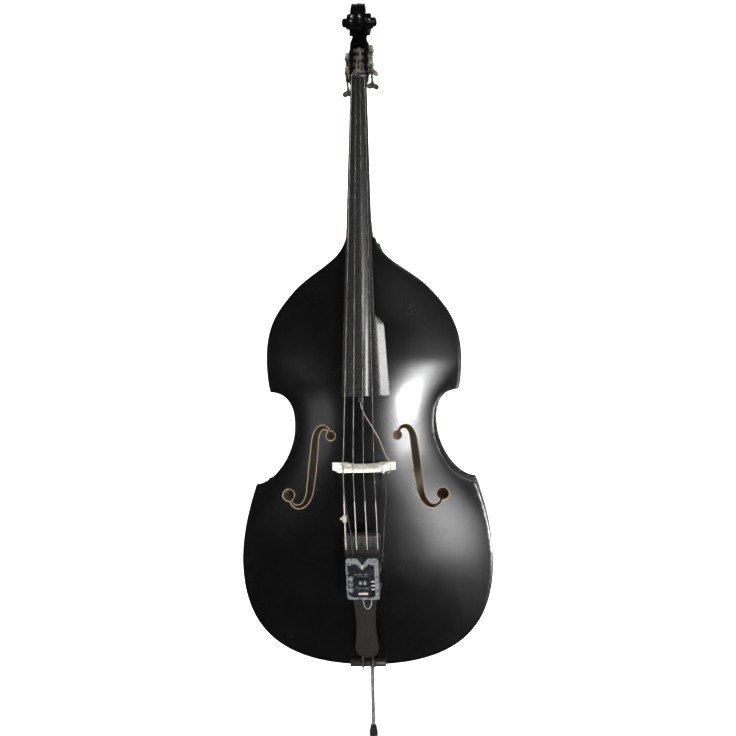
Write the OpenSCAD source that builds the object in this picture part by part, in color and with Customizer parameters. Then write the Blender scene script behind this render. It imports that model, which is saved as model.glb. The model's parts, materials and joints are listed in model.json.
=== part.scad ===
// Three-quarter size double bass with gloss black lacquer, worm-geared tuners and a pickup preamp.
// Millimetres. The foot of the endpin is the origin, +Z runs up the instrument and -Y is its front.

/* [Body outline] */
// Height of the body's lower edge above the floor, set by the endpin
body_lift = 214; // [190:1:260]
// Length of the body from the lower edge to the heel of the neck
body_length = 1116; // [1080:1:1150]
// Width across the lower bout
lower_bout_w = 657; // [620:1:690]
// Width across the lower corners
lower_corner_w = 574; // [540:1:600]
// Width across the waist
waist_w = 366; // [340:1:390]
// Width across the upper corners
upper_corner_w = 492; // [460:1:510]
// Width across the upper bout
upper_bout_w = 510; // [480:1:530]
// Width of the body where it meets the neck
heel_w = 78; // [72:1:86]

/* [Body section] */
// Depth of the ribs through the lower bout and waist
rib_depth = 190; // [170:1:205]
// How much shallower the ribs are at the heel
rib_taper = 45; // [20:1:60]
// Thickness of the ribs
rib_t = 3; // [2:0.5:5]
// Thickness of the table and the back
plate_t = 6; // [4:0.5:9]
// How far the plates stand out beyond the ribs
plate_edge = 5; // [3:0.5:8]
// Height of the arching of both plates
arch_h = 24; // [15:1:32]

/* [Neck and strings] */
// Height of the nut above the floor
nut_z = 1755; // [1740:1:1770]
// Height of the bridge's centre above the floor
bridge_z = 734; // [725:1:745]
// Distance of the bridge's crown in front of the middle of the ribs
bridge_top = 287; // [275:1:295]
// Fingerboard width at the nut
board_nut_w = 42; // [40:1:46]
// Fingerboard width at its lower end, without the treble wing
board_end_w = 88; // [82:1:92]
// Height of the fingerboard's lower end above the floor
board_end_z = 916; // [900:1:930]
// Width of the flared wing on the treble side of the fingerboard
wing_w = 33; // [20:1:36]
// Radius across the playing face of the fingerboard
board_radius = 74; // [65:1:85]
// Distance between the outer strings at the nut
nut_spread = 33; // [30:1:36]
// Distance between the outer strings at the bridge
bridge_spread = 77; // [72:1:82]
// Distance between the outer strings at the tailpiece
tail_spread = 80; // [76:1:84]

/* [Endpin] */
// Diameter of the endpin rod
rod_d = 10; // [8:1:12]
// Length of the endpin rod
rod_length = 400; // [360:1:420]
// Diameter of the rubber foot
foot_d = 22; // [18:1:30]

/* [Head] */
// Backward lean of the pegbox
head_lean = 16; // [10:1:20]
// Outer width of the pegbox
pegbox_w = 49; // [46:1:54]
// Width of the slot between the cheeks
pegbox_slot = 30; // [26:1:32]
// Radius of the scroll in side view
scroll_r = 57; // [48:1:58]
// Width over the eyes of the scroll
scroll_w = 95; // [85:1:100]
// Teeth on each worm wheel
gear_teeth = 20; // [16:1:24]
// Width of each worm wheel
gear_w = 9; // [6:0.5:10]

/* [Preamp] */
// Width of the preamp case on the tailpiece
case_w = 84; // [78:1:90]
// Height of the preamp case
case_h = 114; // [100:1:120]
// Depth of the preamp case
case_d = 20; // [16:1:26]

/* [Hidden] */
fit = 0.05;      // running clearance on a shaft
gap = 0.3;       // clearance between pieces that move past each other
steps = 64;      // facets of round metal parts
sides = [-1, 1]; // bass side, treble side

// ---- colours ----
LACQUER = [0.03, 0.03, 0.035];
SPRUCE = [0.80, 0.66, 0.44];
MAPLE = [0.88, 0.80, 0.66];
EBONY = [0.06, 0.05, 0.05];
BONE = [0.85, 0.82, 0.70];
STEEL = [0.70, 0.71, 0.73];
BRASS = [0.74, 0.62, 0.38];
SILK = [0.80, 0.68, 0.68];
RUBBER = [0.05, 0.05, 0.05];
BOARD_GREEN = [0.05, 0.25, 0.12];

// ---- curves ----
// Point and heading on a cubic curve p at t
function cubic(p, t) = pow(1 - t, 3) * p[0] + 3 * pow(1 - t, 2) * t * p[1]
    + 3 * (1 - t) * t * t * p[2] + t * t * t * p[3];
function heading(p, t) = pow(1 - t, 2) * (p[1] - p[0]) + 2 * (1 - t) * t * (p[2] - p[1])
    + t * t * (p[3] - p[2]);
// Outward normal of a curve that runs up the treble side
function outward(p, t) = let (d = heading(p, t)) [d[1], -d[0]] / norm(d);
// Station on a curve: [point, outward normal]
function station(p, t) = [cubic(p, t), outward(p, t)];
function stations(p, ts) = [for (t = ts) station(p, t)];
function ease(s) = let (c = max(0, min(1, s))) c * c * (3 - 2 * c);
function mix(a, b, s) = a + (b - a) * s;
function reverse(list) = [for (i = [len(list) - 1:-1:0]) list[i]];
// Closed curve through a list of points
function loop_curve(pts, n = 5) = let (k = len(pts)) [
    for (i = [0:k - 1], j = [0:n - 1])
        let (
            t = j / n,
            a = pts[(i + k - 1) % k],
            b = pts[i],
            c = pts[(i + 1) % k],
            d = pts[(i + 2) % k]
        )
        0.5 * (2 * b + (c - a) * t + (2 * a - 5 * b + 4 * c - d) * t * t
            + (3 * b - 3 * c + d - a) * t * t * t)
];
// Height of an arc of radius r, falling away from its crown at x
function arc_drop(x, r) = r - sqrt(r * r - x * x);

// ---- solids swept through rings of equal length ----
module loft(rings) {
    n = len(rings[0]);
    m = len(rings);
    points = [for (ring = rings, p = ring) p];
    polyhedron(points, concat(
        [[for (i = [0:n - 1]) i]],
        [[for (i = [n - 1:-1:0]) (m - 1) * n + i]],
        [for (j = [0:m - 2], i = [0:n - 1])
            let (a = j * n + i, b = j * n + (i + 1) % n)
            [a, a + n, b + n]],
        [for (j = [0:m - 2], i = [0:n - 1])
            let (a = j * n + i, b = j * n + (i + 1) % n)
            [a, b + n, b]]
    ));
}

// ---- cord tube along a route ----
function unit(v) = v / norm(v);
function route_heading(p, i) = unit(p[min(i + 1, len(p) - 1)] - p[max(i - 1, 0)]);
function across(d) = unit(cross(d, abs(d[0]) > 0.8 ? [0, 1, 0] : [1, 0, 0]));
function tube_ring(c, d, r, sides) = let (u = across(d), v = cross(d, u))
    [for (k = [0:sides - 1]) c + r * (cos(k * 360 / sides) * u + sin(k * 360 / sides) * v)];
module tube(route, r, sides = 8) {
    loft([for (i = [0:len(route) - 1]) tube_ring(route[i], route_heading(route, i), r, sides)]);
}
// Puts its children at a, with their z pointing to b
module aim(a, b) {
    d = unit(b - a);
    translate(a) rotate([asin(-d[1]), atan2(d[0], d[2]), 0]) children();
}
// Evenly spread points on an open curve through a route's points
function route_curve(pts, n) = let (k = len(pts)) concat(
    [for (i = [0:k - 2], j = [0:n - 1])
        let (
            t = j / n,
            b = pts[i],
            c = pts[i + 1],
            a = i > 0 ? pts[i - 1] : 2 * b - c,
            d = i < k - 2 ? pts[i + 2] : 2 * c - b
        )
        0.5 * (2 * b + (c - a) * t + (2 * a - 5 * b + 4 * c - d) * t * t
            + (3 * b - 3 * c + d - a) * t * t * t)],
    [pts[k - 1]]
);

// ---- body outline, treble side, as spans of [x, z] ----
z0 = body_lift;
z1 = body_lift + body_length;
lower_h = lower_bout_w / 2;
waist_h = waist_w / 2;
upper_h = upper_bout_w / 2;
lower_corner = [lower_corner_w / 2, z0 + 475];
upper_corner = [upper_corner_w / 2, z0 + 715];
waist_z = z0 + 629;
upper_z = z0 + 798;
shoulder = [175, z0 + 983];
LOWER_A = [[0, z0], [263, z0], [lower_h, z0 + 127], [lower_h, z0 + 274]];
LOWER_B = [[lower_h, z0 + 274], [lower_h, z0 + 343], lower_corner + [19, -49], lower_corner];
WAIST_A = [lower_corner, lower_corner + [-48, 2], [waist_h, waist_z - 78], [waist_h, waist_z]];
WAIST_B = [[waist_h, waist_z], [waist_h, waist_z + 25], [waist_h + 3, upper_corner[1] - 4], upper_corner];
UPPER_A = [upper_corner, upper_corner + [6, 18], [upper_h, upper_z - 29], [upper_h, upper_z]];
UPPER_B = [[upper_h, upper_z], [upper_h, upper_z + 94], shoulder + [48, -53], shoulder];
SHOULDER = [shoulder, shoulder + [-54, 54], [54, z1 - 62], [heel_w / 2, z1]];

// ---- ribs: stations shared by ribs, linings and blocks ----
RIB_LOWER = concat(
    stations(LOWER_A, [for (i = [0:12]) i / 12]),
    stations(LOWER_B, [0.18, 0.36, 0.54, 0.7, 0.84, 0.968])
);
RIB_WAIST = concat(
    stations(WAIST_A, [0.065, 0.14, 0.22, 0.32, 0.45, 0.6, 0.8, 1]),
    stations(WAIST_B, [0.2, 0.4, 0.55, 0.68, 0.78, 0.87, 0.955])
);
RIB_UPPER = concat(
    stations(UPPER_A, [0.1, 0.3, 0.6, 1]),
    stations(UPPER_B, [0.15, 0.3, 0.45, 0.6, 0.75, 0.88, 1]),
    stations(SHOULDER, [0.12, 0.25, 0.4, 0.55, 0.7, 0.85, 0.97])
);
rib_front = -rib_depth / 2;
taper_z = upper_corner[1];
// Depth at which the back plate's inner face lies
function back_y(z) = rib_depth / 2 - rib_taper * pow(max(0, z - taper_z) / (z1 - taper_z), 2);
function inset(s, d) = s[0] - d * s[1];
// Sheet that follows a list of stations between two insets and two depths
function sheet_ring(s, d0, d1, ya, yb) = let (p = inset(s, d0), q = inset(s, d1)) [
    [p[0], ya(p[1]), p[1]],
    [p[0], yb(p[1]), p[1]],
    [q[0], yb(q[1]), q[1]],
    [q[0], ya(q[1]), q[1]]
];
module sheet(list, d0, d1, ya, yb) {
    loft([for (s = list) sheet_ring(s, d0, d1, ya, yb)]);
}
module on_side(side) {
    if (side > 0) children();
    else mirror([1, 0, 0]) children();
}
module rib(list, side) {
    color(LACQUER) on_side(side)
        sheet(list, plate_edge, plate_edge + rib_t, function(z) rib_front, function(z) back_y(z) - 0.1);
}
// Lower rib, with its half of the hole for the endpin's plug
module rib_lower(side) {
    difference() {
        rib(RIB_LOWER, side);
        color(LACQUER) translate([0, 0, z0 - 10]) cylinder(h = 40, r = collar_r + fit, $fn = steps);
    }
}
function part_of(list, a, b) = [for (i = [a:b]) list[i]];

lining_w = 9;
lining_h = 20;
// Strips along the front and back edges of a rib
module lining_pair(list, side) {
    d0 = plate_edge + rib_t;
    on_side(side) {
        sheet(list, d0, d0 + lining_w, function(z) rib_front, function(z) rib_front + lining_h);
        sheet(list, d0, d0 + lining_w, function(z) back_y(z) - lining_h, function(z) back_y(z) - 0.1);
    }
}
module linings() {
    color(SPRUCE) for (side = sides) {
        lining_pair(part_of(RIB_LOWER, 3, 14), side);
        lining_pair(part_of(RIB_WAIST, 4, 10), side);
        lining_pair(part_of(RIB_UPPER, 3, 13), side);
    }
}

// ---- blocks inside the body ----
block_back = rib_depth / 2 - 0.5;
module block(points, back) {
    translate([0, back, 0]) rotate([90, 0, 0]) linear_extrude(back - rib_front) polygon(points);
}
function inner_line(list, a, b) = [for (i = [a:b]) inset(list[i], plate_edge + rib_t)];
function flip(points) = [for (p = reverse(points)) [-p[0], p[1]]];
module corner_blocks() {
    color(SPRUCE) for (side = sides) on_side(side) {
        block(concat(inner_line(RIB_LOWER, 16, 18), inner_line(RIB_WAIST, 0, 3)), block_back);
        block(concat(inner_line(RIB_WAIST, 11, 14), inner_line(RIB_UPPER, 0, 2)), back_y(upper_z) - 0.5);
    }
}
module end_block() {
    line = inner_line(RIB_LOWER, 0, 2);
    top = z0 + 62;
    color(SPRUCE) difference() {
        block(concat(flip(part_of(line, 1, 2)), line, [[line[2][0], top], [-line[2][0], top]]), block_back);
        translate([0, 0, z0]) cylinder(h = 80, r = collar_r + fit, $fn = steps);
    }
}
module neck_block() {
    line = inner_line(RIB_UPPER, 14, 17);
    color(SPRUCE) block(concat(line, [[line[3][0], z1 - 0.2], [-line[3][0], z1 - 0.2]], flip(line)),
        back_y(z1) - 0.5);
}

// ---- arched plates ----
// Half width that carries the arching: the outline without its corners
function arch_half(w, z) = z > z0 + 386 && z < upper_z
    ? (z < waist_z
        ? mix(waist_h, w, pow(ease((waist_z - z) / (waist_z - z0 - 386)), 2))
        : mix(waist_h, upper_h, pow(ease((z - waist_z) / (upper_z - waist_z)), 2)))
    : w;
function arch_span(z) = ease(min((z - z0) / 300, (z1 - z) / 340));
function arch(x, z, w) = let (u = min(1, abs(x) / arch_half(w, z)))
    arch_h * arch_span(z) * pow(0.5 + 0.5 * cos(180 * u), 0.8);
// Table height above its own rim where the outline is wide
function table_rise(x, z) = arch(x, z, lower_h - 16);
ROWS = concat(
    [[40, z0]],
    [for (i = [2:12]) cubic(LOWER_A, i / 12)],
    [for (t = [0.25, 0.5, 0.75, 0.9, 1]) cubic(LOWER_B, t)],
    [for (t = [0.07, 0.16, 0.26, 0.38, 0.52, 0.68, 0.84, 1]) cubic(WAIST_A, t)],
    [for (t = [0.2, 0.4, 0.58, 0.74, 0.88, 1]) cubic(WAIST_B, t)],
    [for (t = [0.25, 0.5, 0.75, 1]) cubic(UPPER_A, t)],
    [for (t = [0.2, 0.4, 0.6, 0.8, 1]) cubic(UPPER_B, t)],
    [for (t = [0.15, 0.3, 0.45, 0.6, 0.8, 1]) cubic(SHOULDER, t)]
);
COLUMNS = [-1, -0.93, -0.8, -0.62, -0.42, -0.2, 0, 0.2, 0.42, 0.62, 0.8, 0.93, 1];
// A plate between its inner and outer faces; face = -1 for the table, 1 for the back
function plate_ring(row, face) = let (
    w = row[0],
    z = row[1],
    y = face < 0 ? rib_front : back_y(z),
    line = [for (u = COLUMNS) [u * w, y + face * arch(u * w, z, w), z]]
) concat(line, [for (p = reverse(line)) p + [0, face * plate_t, 0]]);
module plate(face) {
    loft([for (row = ROWS) let (ring = plate_ring(row, face)) face < 0 ? reverse(ring) : ring]);
}

// ---- f-holes: heights are above the middle of the bridge ----
F_UPPER = [[90, 88], [98, 109], [124, 109], [129, 66]];
F_STEM = [[129, 66], [133, 31], [138, -19], [144, -60]];
F_LOWER = [[144, -60], [149, -104], [182, -122], [198, -89]];
F_EYES = [[[87, 79], 12], [[202, -75], 15.5]];
function f_side(sign) = [for (span = [0:2], i = [0:(span < 2 ? 6 : 7)])
    let (
        p = [F_UPPER, F_STEM, F_LOWER][span],
        t = i / 7,
        s = station(p, t),
        half = 2.2 + 7.6 * pow(sin(180 * (span + t) / 3), 1.2)
    )
    s[0] + sign * half * s[1]];
module f_hole() {
    polygon(concat(f_side(1), reverse(f_side(-1))));
    for (eye = F_EYES) translate(eye[0]) circle(r = eye[1], $fn = 28);
}
module top_plate() {
    color(LACQUER) resize([0, 0, 0]) difference() {
        plate(-1);
        for (side = sides) on_side(side)
            translate([0, -60, bridge_z]) rotate([90, 0, 0]) linear_extrude(100) f_hole();
    }
}
module back_plate() {
    color(LACQUER) resize([0, 0, 0]) plate(1);
}

// ---- bar and post ----
bar_x = -58;
bar_w = 20;
bar_fit = 2.0; // the table's facets sag this much below its arching
module bass_bar() {
    zs = [for (i = [0:12]) mix(z0 + 250, z0 + 880, i / 12)];
    color(SPRUCE) loft([for (z = zs) let (
        rise = min(table_rise(bar_x - bar_w / 2, z), table_rise(bar_x + bar_w / 2, z)) - bar_fit,
        deep = 14 + 18 * pow(sin(180 * (z - zs[0]) / (zs[12] - zs[0])), 0.8)
    ) [
        [bar_x - bar_w / 2, rib_front - rise, z],
        [bar_x + bar_w / 2, rib_front - rise, z],
        [bar_x + bar_w / 2, rib_front - rise + deep, z],
        [bar_x - bar_w / 2, rib_front - rise + deep, z]
    ]]);
}
post_x = 60;
post_z = bridge_z - 26;
post_r = 9;
post_fit = 1.5;
module sound_post() {
    front = rib_front - table_rise(post_x + post_r, post_z - post_r) + post_fit;
    back = rib_depth / 2 + table_rise(post_x + post_r, post_z - post_r) - post_fit;
    color(SPRUCE) translate([post_x, back, post_z]) rotate([90, 0, 0])
        cylinder(h = back - front, r = post_r, $fn = steps);
}

// ---- fingerboard: it follows the line of the strings ----
bridge_radius = 78; // curve over the bridge's crown
nut_front = 77.7;   // the strings' line at the nut, in front of the middle of the ribs
slope = (bridge_top - nut_front) / (nut_z - bridge_z);
function string_y(z) = -bridge_top + slope * (z - bridge_z);
crown_nut = string_y(nut_z) + 2;
crown_end = string_y(board_end_z) + 9;
function crown_y(z) = mix(crown_nut, crown_end, (nut_z - z) / (nut_z - board_end_z));
function board_t(z) = mix(14, 21, (nut_z - z) / (nut_z - board_end_z));
function board_half(z) = mix(board_nut_w, board_end_w, (nut_z - z) / (nut_z - board_end_z)) / 2;
function under_y(z) = crown_y(z) + board_t(z);
// Extra width on the treble side
function wing(z) = (wing_w - 8) * ease((1130 - z) / 36) + 8 * max(0, 1094 - z) / (1094 - board_end_z);
module fingerboard() {
    zs = [board_end_z, 960, 1010, 1060, 1094, 1106, 1118, 1130, 1200, 1330, 1450, 1600, nut_z - 0.2];
    cols = [-1, -0.8, -0.55, -0.3, 0, 0.3, 0.55, 0.8, 1];
    color(EBONY) loft([for (z = zs) let (
        h = board_half(z),
        w = wing(z),
        top = [for (u = cols) [u * h, crown_y(z) + arc_drop(u * h, board_radius), z]],
        tip = crown_y(z) + arc_drop(h, board_radius)
    ) concat(top, [
        [h + w + 0.01, tip + w * 0.25, z],
        [h + w + 0.01, tip + w * 0.25 + 7, z],
        [h, under_y(z), z],
        [-h, under_y(z), z]
    ])]);
}
nut_h = 9;
nut_rise = 2.2; // how far the nut stands in front of the fingerboard
module nut() {
    color(EBONY) difference() {
        intersection() {
            translate([-board_nut_w / 2, crown_nut, nut_z]) rotate([90, 0, 90]) linear_extrude(board_nut_w)
                polygon([[-nut_rise, 0], [board_t(nut_z), 0], [board_t(nut_z), nut_h], [5, nut_h],
                    [-nut_rise, 5]]);
            translate([0, crown_nut - nut_rise + board_radius, nut_z - 1])
                cylinder(h = nut_h + 2, r = board_radius, $fn = 4 * steps);
        }
        for (i = [0:3], far = [3, 5]) aim(nut_point(i), string_route(i)[far])
            translate([0, 0, -1]) cylinder(h = 30, r = STRING_R[i] + 0.15, $fn = 24);
    }
}

// ---- string spacing ----
STRING_R = [1.4, 1.15, 0.95, 0.75];
function spread(i, total) = total * (i / 3 - 0.5);
function nut_point(i) = let (x = spread(i, nut_spread))
    [x, crown_nut - nut_rise + arc_drop(x, board_radius), nut_z + 5];
function bridge_point(i) = let (x = spread(i, bridge_spread))
    [x, -bridge_top + arc_drop(x, bridge_radius), bridge_z];
// ---- head frame: origin under the nut, z up the pegbox, -y towards the front ----
head_y = under_y(nut_z);
module head() {
    translate([0, head_y, nut_z]) rotate([-head_lean, 0, 0]) children();
}
// Place of a point given as [x, depth, height] in the head frame
function head_point(p) = [
    p[0],
    head_y + p[1] * cos(head_lean) + p[2] * sin(head_lean),
    nut_z - p[1] * sin(head_lean) + p[2] * cos(head_lean)
];
roller_y = 12;
roller_r = 7;
journal_r = 5;
stub_r = 3.5;
// Height of each roller and the side that its gear is on
ROLLER_Z = [26, 68, 89, 47];
ROLLER_SIDE = [-1, -1, 1, 1];
// Where each string meets its roller
ROLLER_X = [-8, -4, 4, 8];
cheek_x = pegbox_w / 2;
slot_x = pegbox_slot / 2;
neck_top = board_nut_w / 2;
PEGBOX_SIDE = [[0.6, -3], [0.4, 10], [-5, 15], [-7, 60], [-5, 100], [2, 122], [4, 140],
    [34, 152], [27, 128], [33, 100], [39, 60], [40, 25], [34, 8], [26, -3]];
scroll_at = [6, 172];

module along_x(y, z) {
    translate([0, y, z]) rotate([0, 90, 0]) children();
}
module scroll() {
    along_x(scroll_at[0], scroll_at[1]) {
        cylinder(h = 40, r = scroll_r, center = true, $fn = 40);
        translate([6, -6, 0]) cylinder(h = 58, r = scroll_r * 0.68, center = true, $fn = 36);
        translate([1, -2, 0]) cylinder(h = 78, r = scroll_r * 0.44, center = true, $fn = 28);
        cylinder(h = scroll_w, r = scroll_r * 0.24, center = true, $fn = 24);
    }
}
module pegbox() {
    intersection() {
        rotate([90, 0, 90]) translate([0, 0, -40]) linear_extrude(80) polygon(PEGBOX_SIDE);
        translate([0, 80, 0]) rotate([90, 0, 0]) linear_extrude(160) polygon([
            [-neck_top, -4], [-cheek_x, 12], [-cheek_x, 108], [-19, 130], [-18, 200],
            [18, 200], [19, 130], [cheek_x, 108], [cheek_x, 12], [neck_top, -4]
        ]);
    }
}
// ---- neck ----
heel_depth = back_y(z1) + plate_t - under_y(z1);
function neck_depth(z) = mix(26, 33, (nut_z - z) / 300)
    + (heel_depth - 34) * pow(max(0, 1 - (z - z1) / 100), 2.6);
function neck_ring(z) = let (h = board_half(z) - 0.2, y = under_y(z), d = neck_depth(z)) concat(
    [[-h, y, z], [h, y, z]],
    [for (a = [8:18.22:172]) [
        h * sign(cos(a)) * pow(abs(cos(a)), 0.75),
        y + 2 + (d - 2) * pow(sin(a), 0.7),
        z
    ]]
);
module neck() {
    zs = concat([for (h = [0, 8, 18, 30, 45, 62, 80, 105]) z1 + h], [1500, 1620, 1700, 1735, nut_z]);
    color(LACQUER) resize([0, 0, 0]) union() {
        loft([for (z = zs) neck_ring(z)]);
        head() difference() {
            union() {
                pegbox();
                scroll();
            }
            translate([-slot_x, -20, 10]) cube([pegbox_slot, 50, 92]);
            for (z = ROLLER_Z) along_x(roller_y, z)
                cylinder(h = 60, r = journal_r + 0.5, center = true, $fn = 32);
        }
    }
}

// ---- strings ----
function tangent(c, n, r) = let (v = n - c, a = atan2(v[1], v[0]) - acos(r / norm(v)))
    c + r * [cos(a), sin(a)];
// The nut point in the head frame's own depth and height
function in_head(p) = let (y = p[1] - head_y, z = p[2] - nut_z) [
    y * cos(head_lean) - z * sin(head_lean),
    y * sin(head_lean) + z * cos(head_lean)
];
function string_route(i) = let (
    r = STRING_R[i],
    n = nut_point(i),
    t = tangent([roller_y, ROLLER_Z[i]], in_head(n), roller_r + r + gap),
    x = spread(i, tail_spread)
) [
    tail_point([x, -9.8, -38]),
    tail_point([x, -13.2 - r, -31]),
    tail_point([x, -13.2 - r, -2]),
    bridge_point(i) - [0, r + 0.1, 0],
    n,
    head_point([ROLLER_X[i], t[0], t[1]])
];
module string(i) {
    color(STEEL) tube(string_route(i), STRING_R[i]);
}

// ---- tailpiece frame: origin at the tailpiece's top edge, z up, -y outwards ----
saddle_y = -127;
tail_z = 572;
tail_rise = z0 + 12;
tail_tan = (bridge_top - 16 + saddle_y) / (bridge_z - tail_rise);
tail_lean = atan(tail_tan);
tail_y = saddle_y - (tail_z - tail_rise) * tail_tan;
module tail() {
    translate([0, tail_y, tail_z]) rotate([tail_lean, 0, 0]) children();
}
function tail_point(p) = [
    p[0],
    tail_y + p[1] * cos(tail_lean) - p[2] * sin(tail_lean),
    tail_z + p[1] * sin(tail_lean) + p[2] * cos(tail_lean)
];
// A plate in the tailpiece frame between two depths, from an outline of [x, z]
module tail_slab(y0, y1) {
    translate([0, y1, 0]) rotate([90, 0, 0]) linear_extrude(y1 - y0) children();
}
tail_t = 14;
TAIL_HALF = [[24, 1.2], [40, 0.4], [45, -4], [46.5, -22], [44, -65], [39, -115], [31, -175], [25, -232],
    [26, -285], [31, -318], [22, -338]];
module tailpiece() {
    color(EBONY) tail() difference() {
        tail_slab(-tail_t / 2, tail_t / 2)
            polygon(loop_curve(concat(TAIL_HALF, [[0, -342]], flip(TAIL_HALF), [[0, 1.5]]), 4));
        for (side = sides) translate([side * gut_x, 0, -345]) cylinder(h = 36, r = gut_r + 0.3, $fn = 24);
    }
}
module tail_bar() {
    color(BONE) tail() translate([-44, -tail_t / 2 - 6, -31]) cube([88, 6, 30]);
}
gut_r = 2.2;
gut_x = 13;
loop_r = 24.4;
loop_z = z0 - 0.5;
module tailgut() {
    leg = [
        tail_point([gut_x, 0, -312]),
        tail_point([gut_x, 0, -344]),
        [gut_x, saddle_y - 2.8, z0 + 14],
        [gut_x, saddle_y - 2.8, z0 + 3],
        [gut_x, saddle_y - 1.6, z0 - 2],
        [gut_x, saddle_y + 4, z0 - 4],
        [gut_x + 2, -95, z0 - 5],
        [gut_x + 6, -60, z0 - 4],
        [loop_r - 2, -22, loop_z]
    ];
    turn = [for (a = [-10:20:190]) [loop_r * cos(a), loop_r * sin(a), loop_z]];
    other = [for (p = reverse(leg)) [-p[0], p[1], p[2]]];
    color(STEEL) tube(concat(leg, turn, other), gut_r);
}
module saddle() {
    rim = rib_front - plate_t - 0.5;
    color(EBONY) translate([0, 0, z0]) rotate([90, 0, 90]) translate([0, 0, -46]) linear_extrude(92)
        polygon([[rim, 0.5], [saddle_y + 3, 0.5], [saddle_y, 3], [saddle_y, 13], [saddle_y + 5, 17],
            [rim, 19]]);
}

// ---- bridge: outline of [x, height above the feet], with its crown at bridge_top ----
bridge_foot = bridge_top + rib_front - plate_t - table_rise(42, bridge_z) - 0.3;
BRIDGE_HALF = [[42, 0], [62, -1.4], [82, -3.4], [82, 5], [73, 9], [62, 16], [57, 28], [57, 42], [68, 50],
    [69, 58], [58, 63], [50, 74], [46, 92], [48, 112], [54, 132], [55, 143]];
BRIDGE_ARCH = [[0, 36], [18, 34], [31, 26], [39, 14]];
KIDNEY = [[30, 62], [40, 58], [47, 62], [40, 70], [33, 84], [27, 80]];
HEART = [[0, 78], [14, 94], [17, 106], [9, 112], [0, 104]];
function bridge_crown(x) = bridge_foot - arc_drop(x, bridge_radius);
module bridge_outline() {
    half = concat(BRIDGE_ARCH, BRIDGE_HALF, [for (x = [54:-9:0]) [x, bridge_crown(x)]]);
    difference() {
        polygon(concat(half, [for (p = reverse(half)) if (p[0] > 0) [-p[0], p[1]]]));
        for (side = sides) scale([side, 1]) polygon(loop_curve(KIDNEY, 4));
        polygon(loop_curve(concat(HEART, [for (i = [3:-1:1]) [-HEART[i][0], HEART[i][1]]]), 4));
    }
}
module bridge() {
    top = bridge_top + 4;
    color(MAPLE) intersection() {
        translate([0, bridge_foot - bridge_top, bridge_z - 11])
            mirror([0, 1, 0]) linear_extrude(22) bridge_outline();
        rotate([90, 0, 90]) translate([0, bridge_z, -90]) linear_extrude(180)
            polygon([[-top, -3.5], [-90, -11.8], [-90, 11.8], [-top, 3.5]]);
    }
}

// ---- endpin ----
collar_r = 18;
rod_r = rod_d / 2;
collar_bottom = z0 - 17;
foot_h = 30;
screw_z = z0 - 11;
module endpin_collar() {
    color(LACQUER) difference() {
        union() {
            translate([0, 0, collar_bottom]) cylinder(h = 21.8, r = 21.5, $fn = steps);
            translate([0, 0, z0]) cylinder(h = 60, r = collar_r, $fn = steps);
        }
        translate([0, 0, collar_bottom - 1]) cylinder(h = 90, r = rod_r + fit, $fn = steps);
        translate([0, 0, screw_z]) rotate([-90, 0, 0]) cylinder(h = 40, r = 3 + fit, $fn = steps);
    }
}
module endpin_rod() {
    color(STEEL) translate([0, 0, 8]) cylinder(h = rod_length, r = rod_r, $fn = steps);
}
module endpin_screw() {
    color(BRASS) translate([0, 0, screw_z]) rotate([-90, 0, 0]) {
        translate([0, 0, rod_r + gap]) cylinder(h = 25, r = 3, $fn = steps);
        translate([0, 0, 27]) cylinder(h = 5, r = 5.5, $fn = steps);
        translate([-9, -2, 31.9]) cube([18, 4, 10]);
    }
}
module endpin_foot() {
    color(RUBBER) difference() {
        rotate_extrude($fn = steps) polygon([[0, 0], [foot_d / 2 - 1.5, 0], [foot_d / 2, 1.5],
            [foot_d / 2, 12], [foot_d / 2 - 2, 22], [rod_r + 2.5, foot_h], [0, foot_h]]);
        translate([0, 0, 7.95]) cylinder(h = 40, r = rod_r, $fn = steps);
    }
}

// ---- worm tuners ----
worm_tilt = 20;
mesh_gap = 19;
gear_r = 15.2;
worm_r = 3.5;
gear_x = 28;
boss_h = 2.5;
shaft_x = gear_x + gear_w / 2;
bearing_r = 4.5;
bearing_z = [-13, 9];
bearing_h = 4;
tuner_t = 1.8;
plate_x = cheek_x + 0.1;
screw_spots = [[29, -17], [-1, 18], [29, 25], [27, 56]];
// Puts its children's z along the worm shaft, pointing to the key
module worm_axis(i) {
    y = roller_y - mesh_gap * sin(worm_tilt);
    z = ROLLER_Z[i] - mesh_gap * cos(worm_tilt);
    translate([ROLLER_SIDE[i] * shaft_x, y, z]) rotate([-90 - worm_tilt, 0, 0]) children();
}
module roller(i) {
    side = ROLLER_SIDE[i];
    coil = STRING_R[i];
    color(BRASS) head() translate([0, roller_y, ROLLER_Z[i]]) rotate([0, side * 90, 0]) {
        translate([0, 0, -slot_x + 0.5]) cylinder(h = pegbox_slot - 1, r = roller_r, $fn = steps);
        translate([0, 0, -21]) cylinder(h = 21 + gear_x - gap, r = journal_r, $fn = steps);
        translate([0, 0, 20]) cylinder(h = gear_x + gear_w - 20, r = stub_r, $fn = steps);
    }
    color(STEEL) head() translate([ROLLER_X[i], roller_y, ROLLER_Z[i]])
        rotate([0, ROLLER_X[i] < 0 ? 90 : -90, 0]) translate([0, 0, coil + gap]) difference() {
            cylinder(h = coil * 8, r = roller_r + 2 * coil, $fn = steps);
            translate([0, 0, -1]) cylinder(h = coil * 8 + 2, r = roller_r + 0.02, $fn = steps);
        }
}
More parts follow.
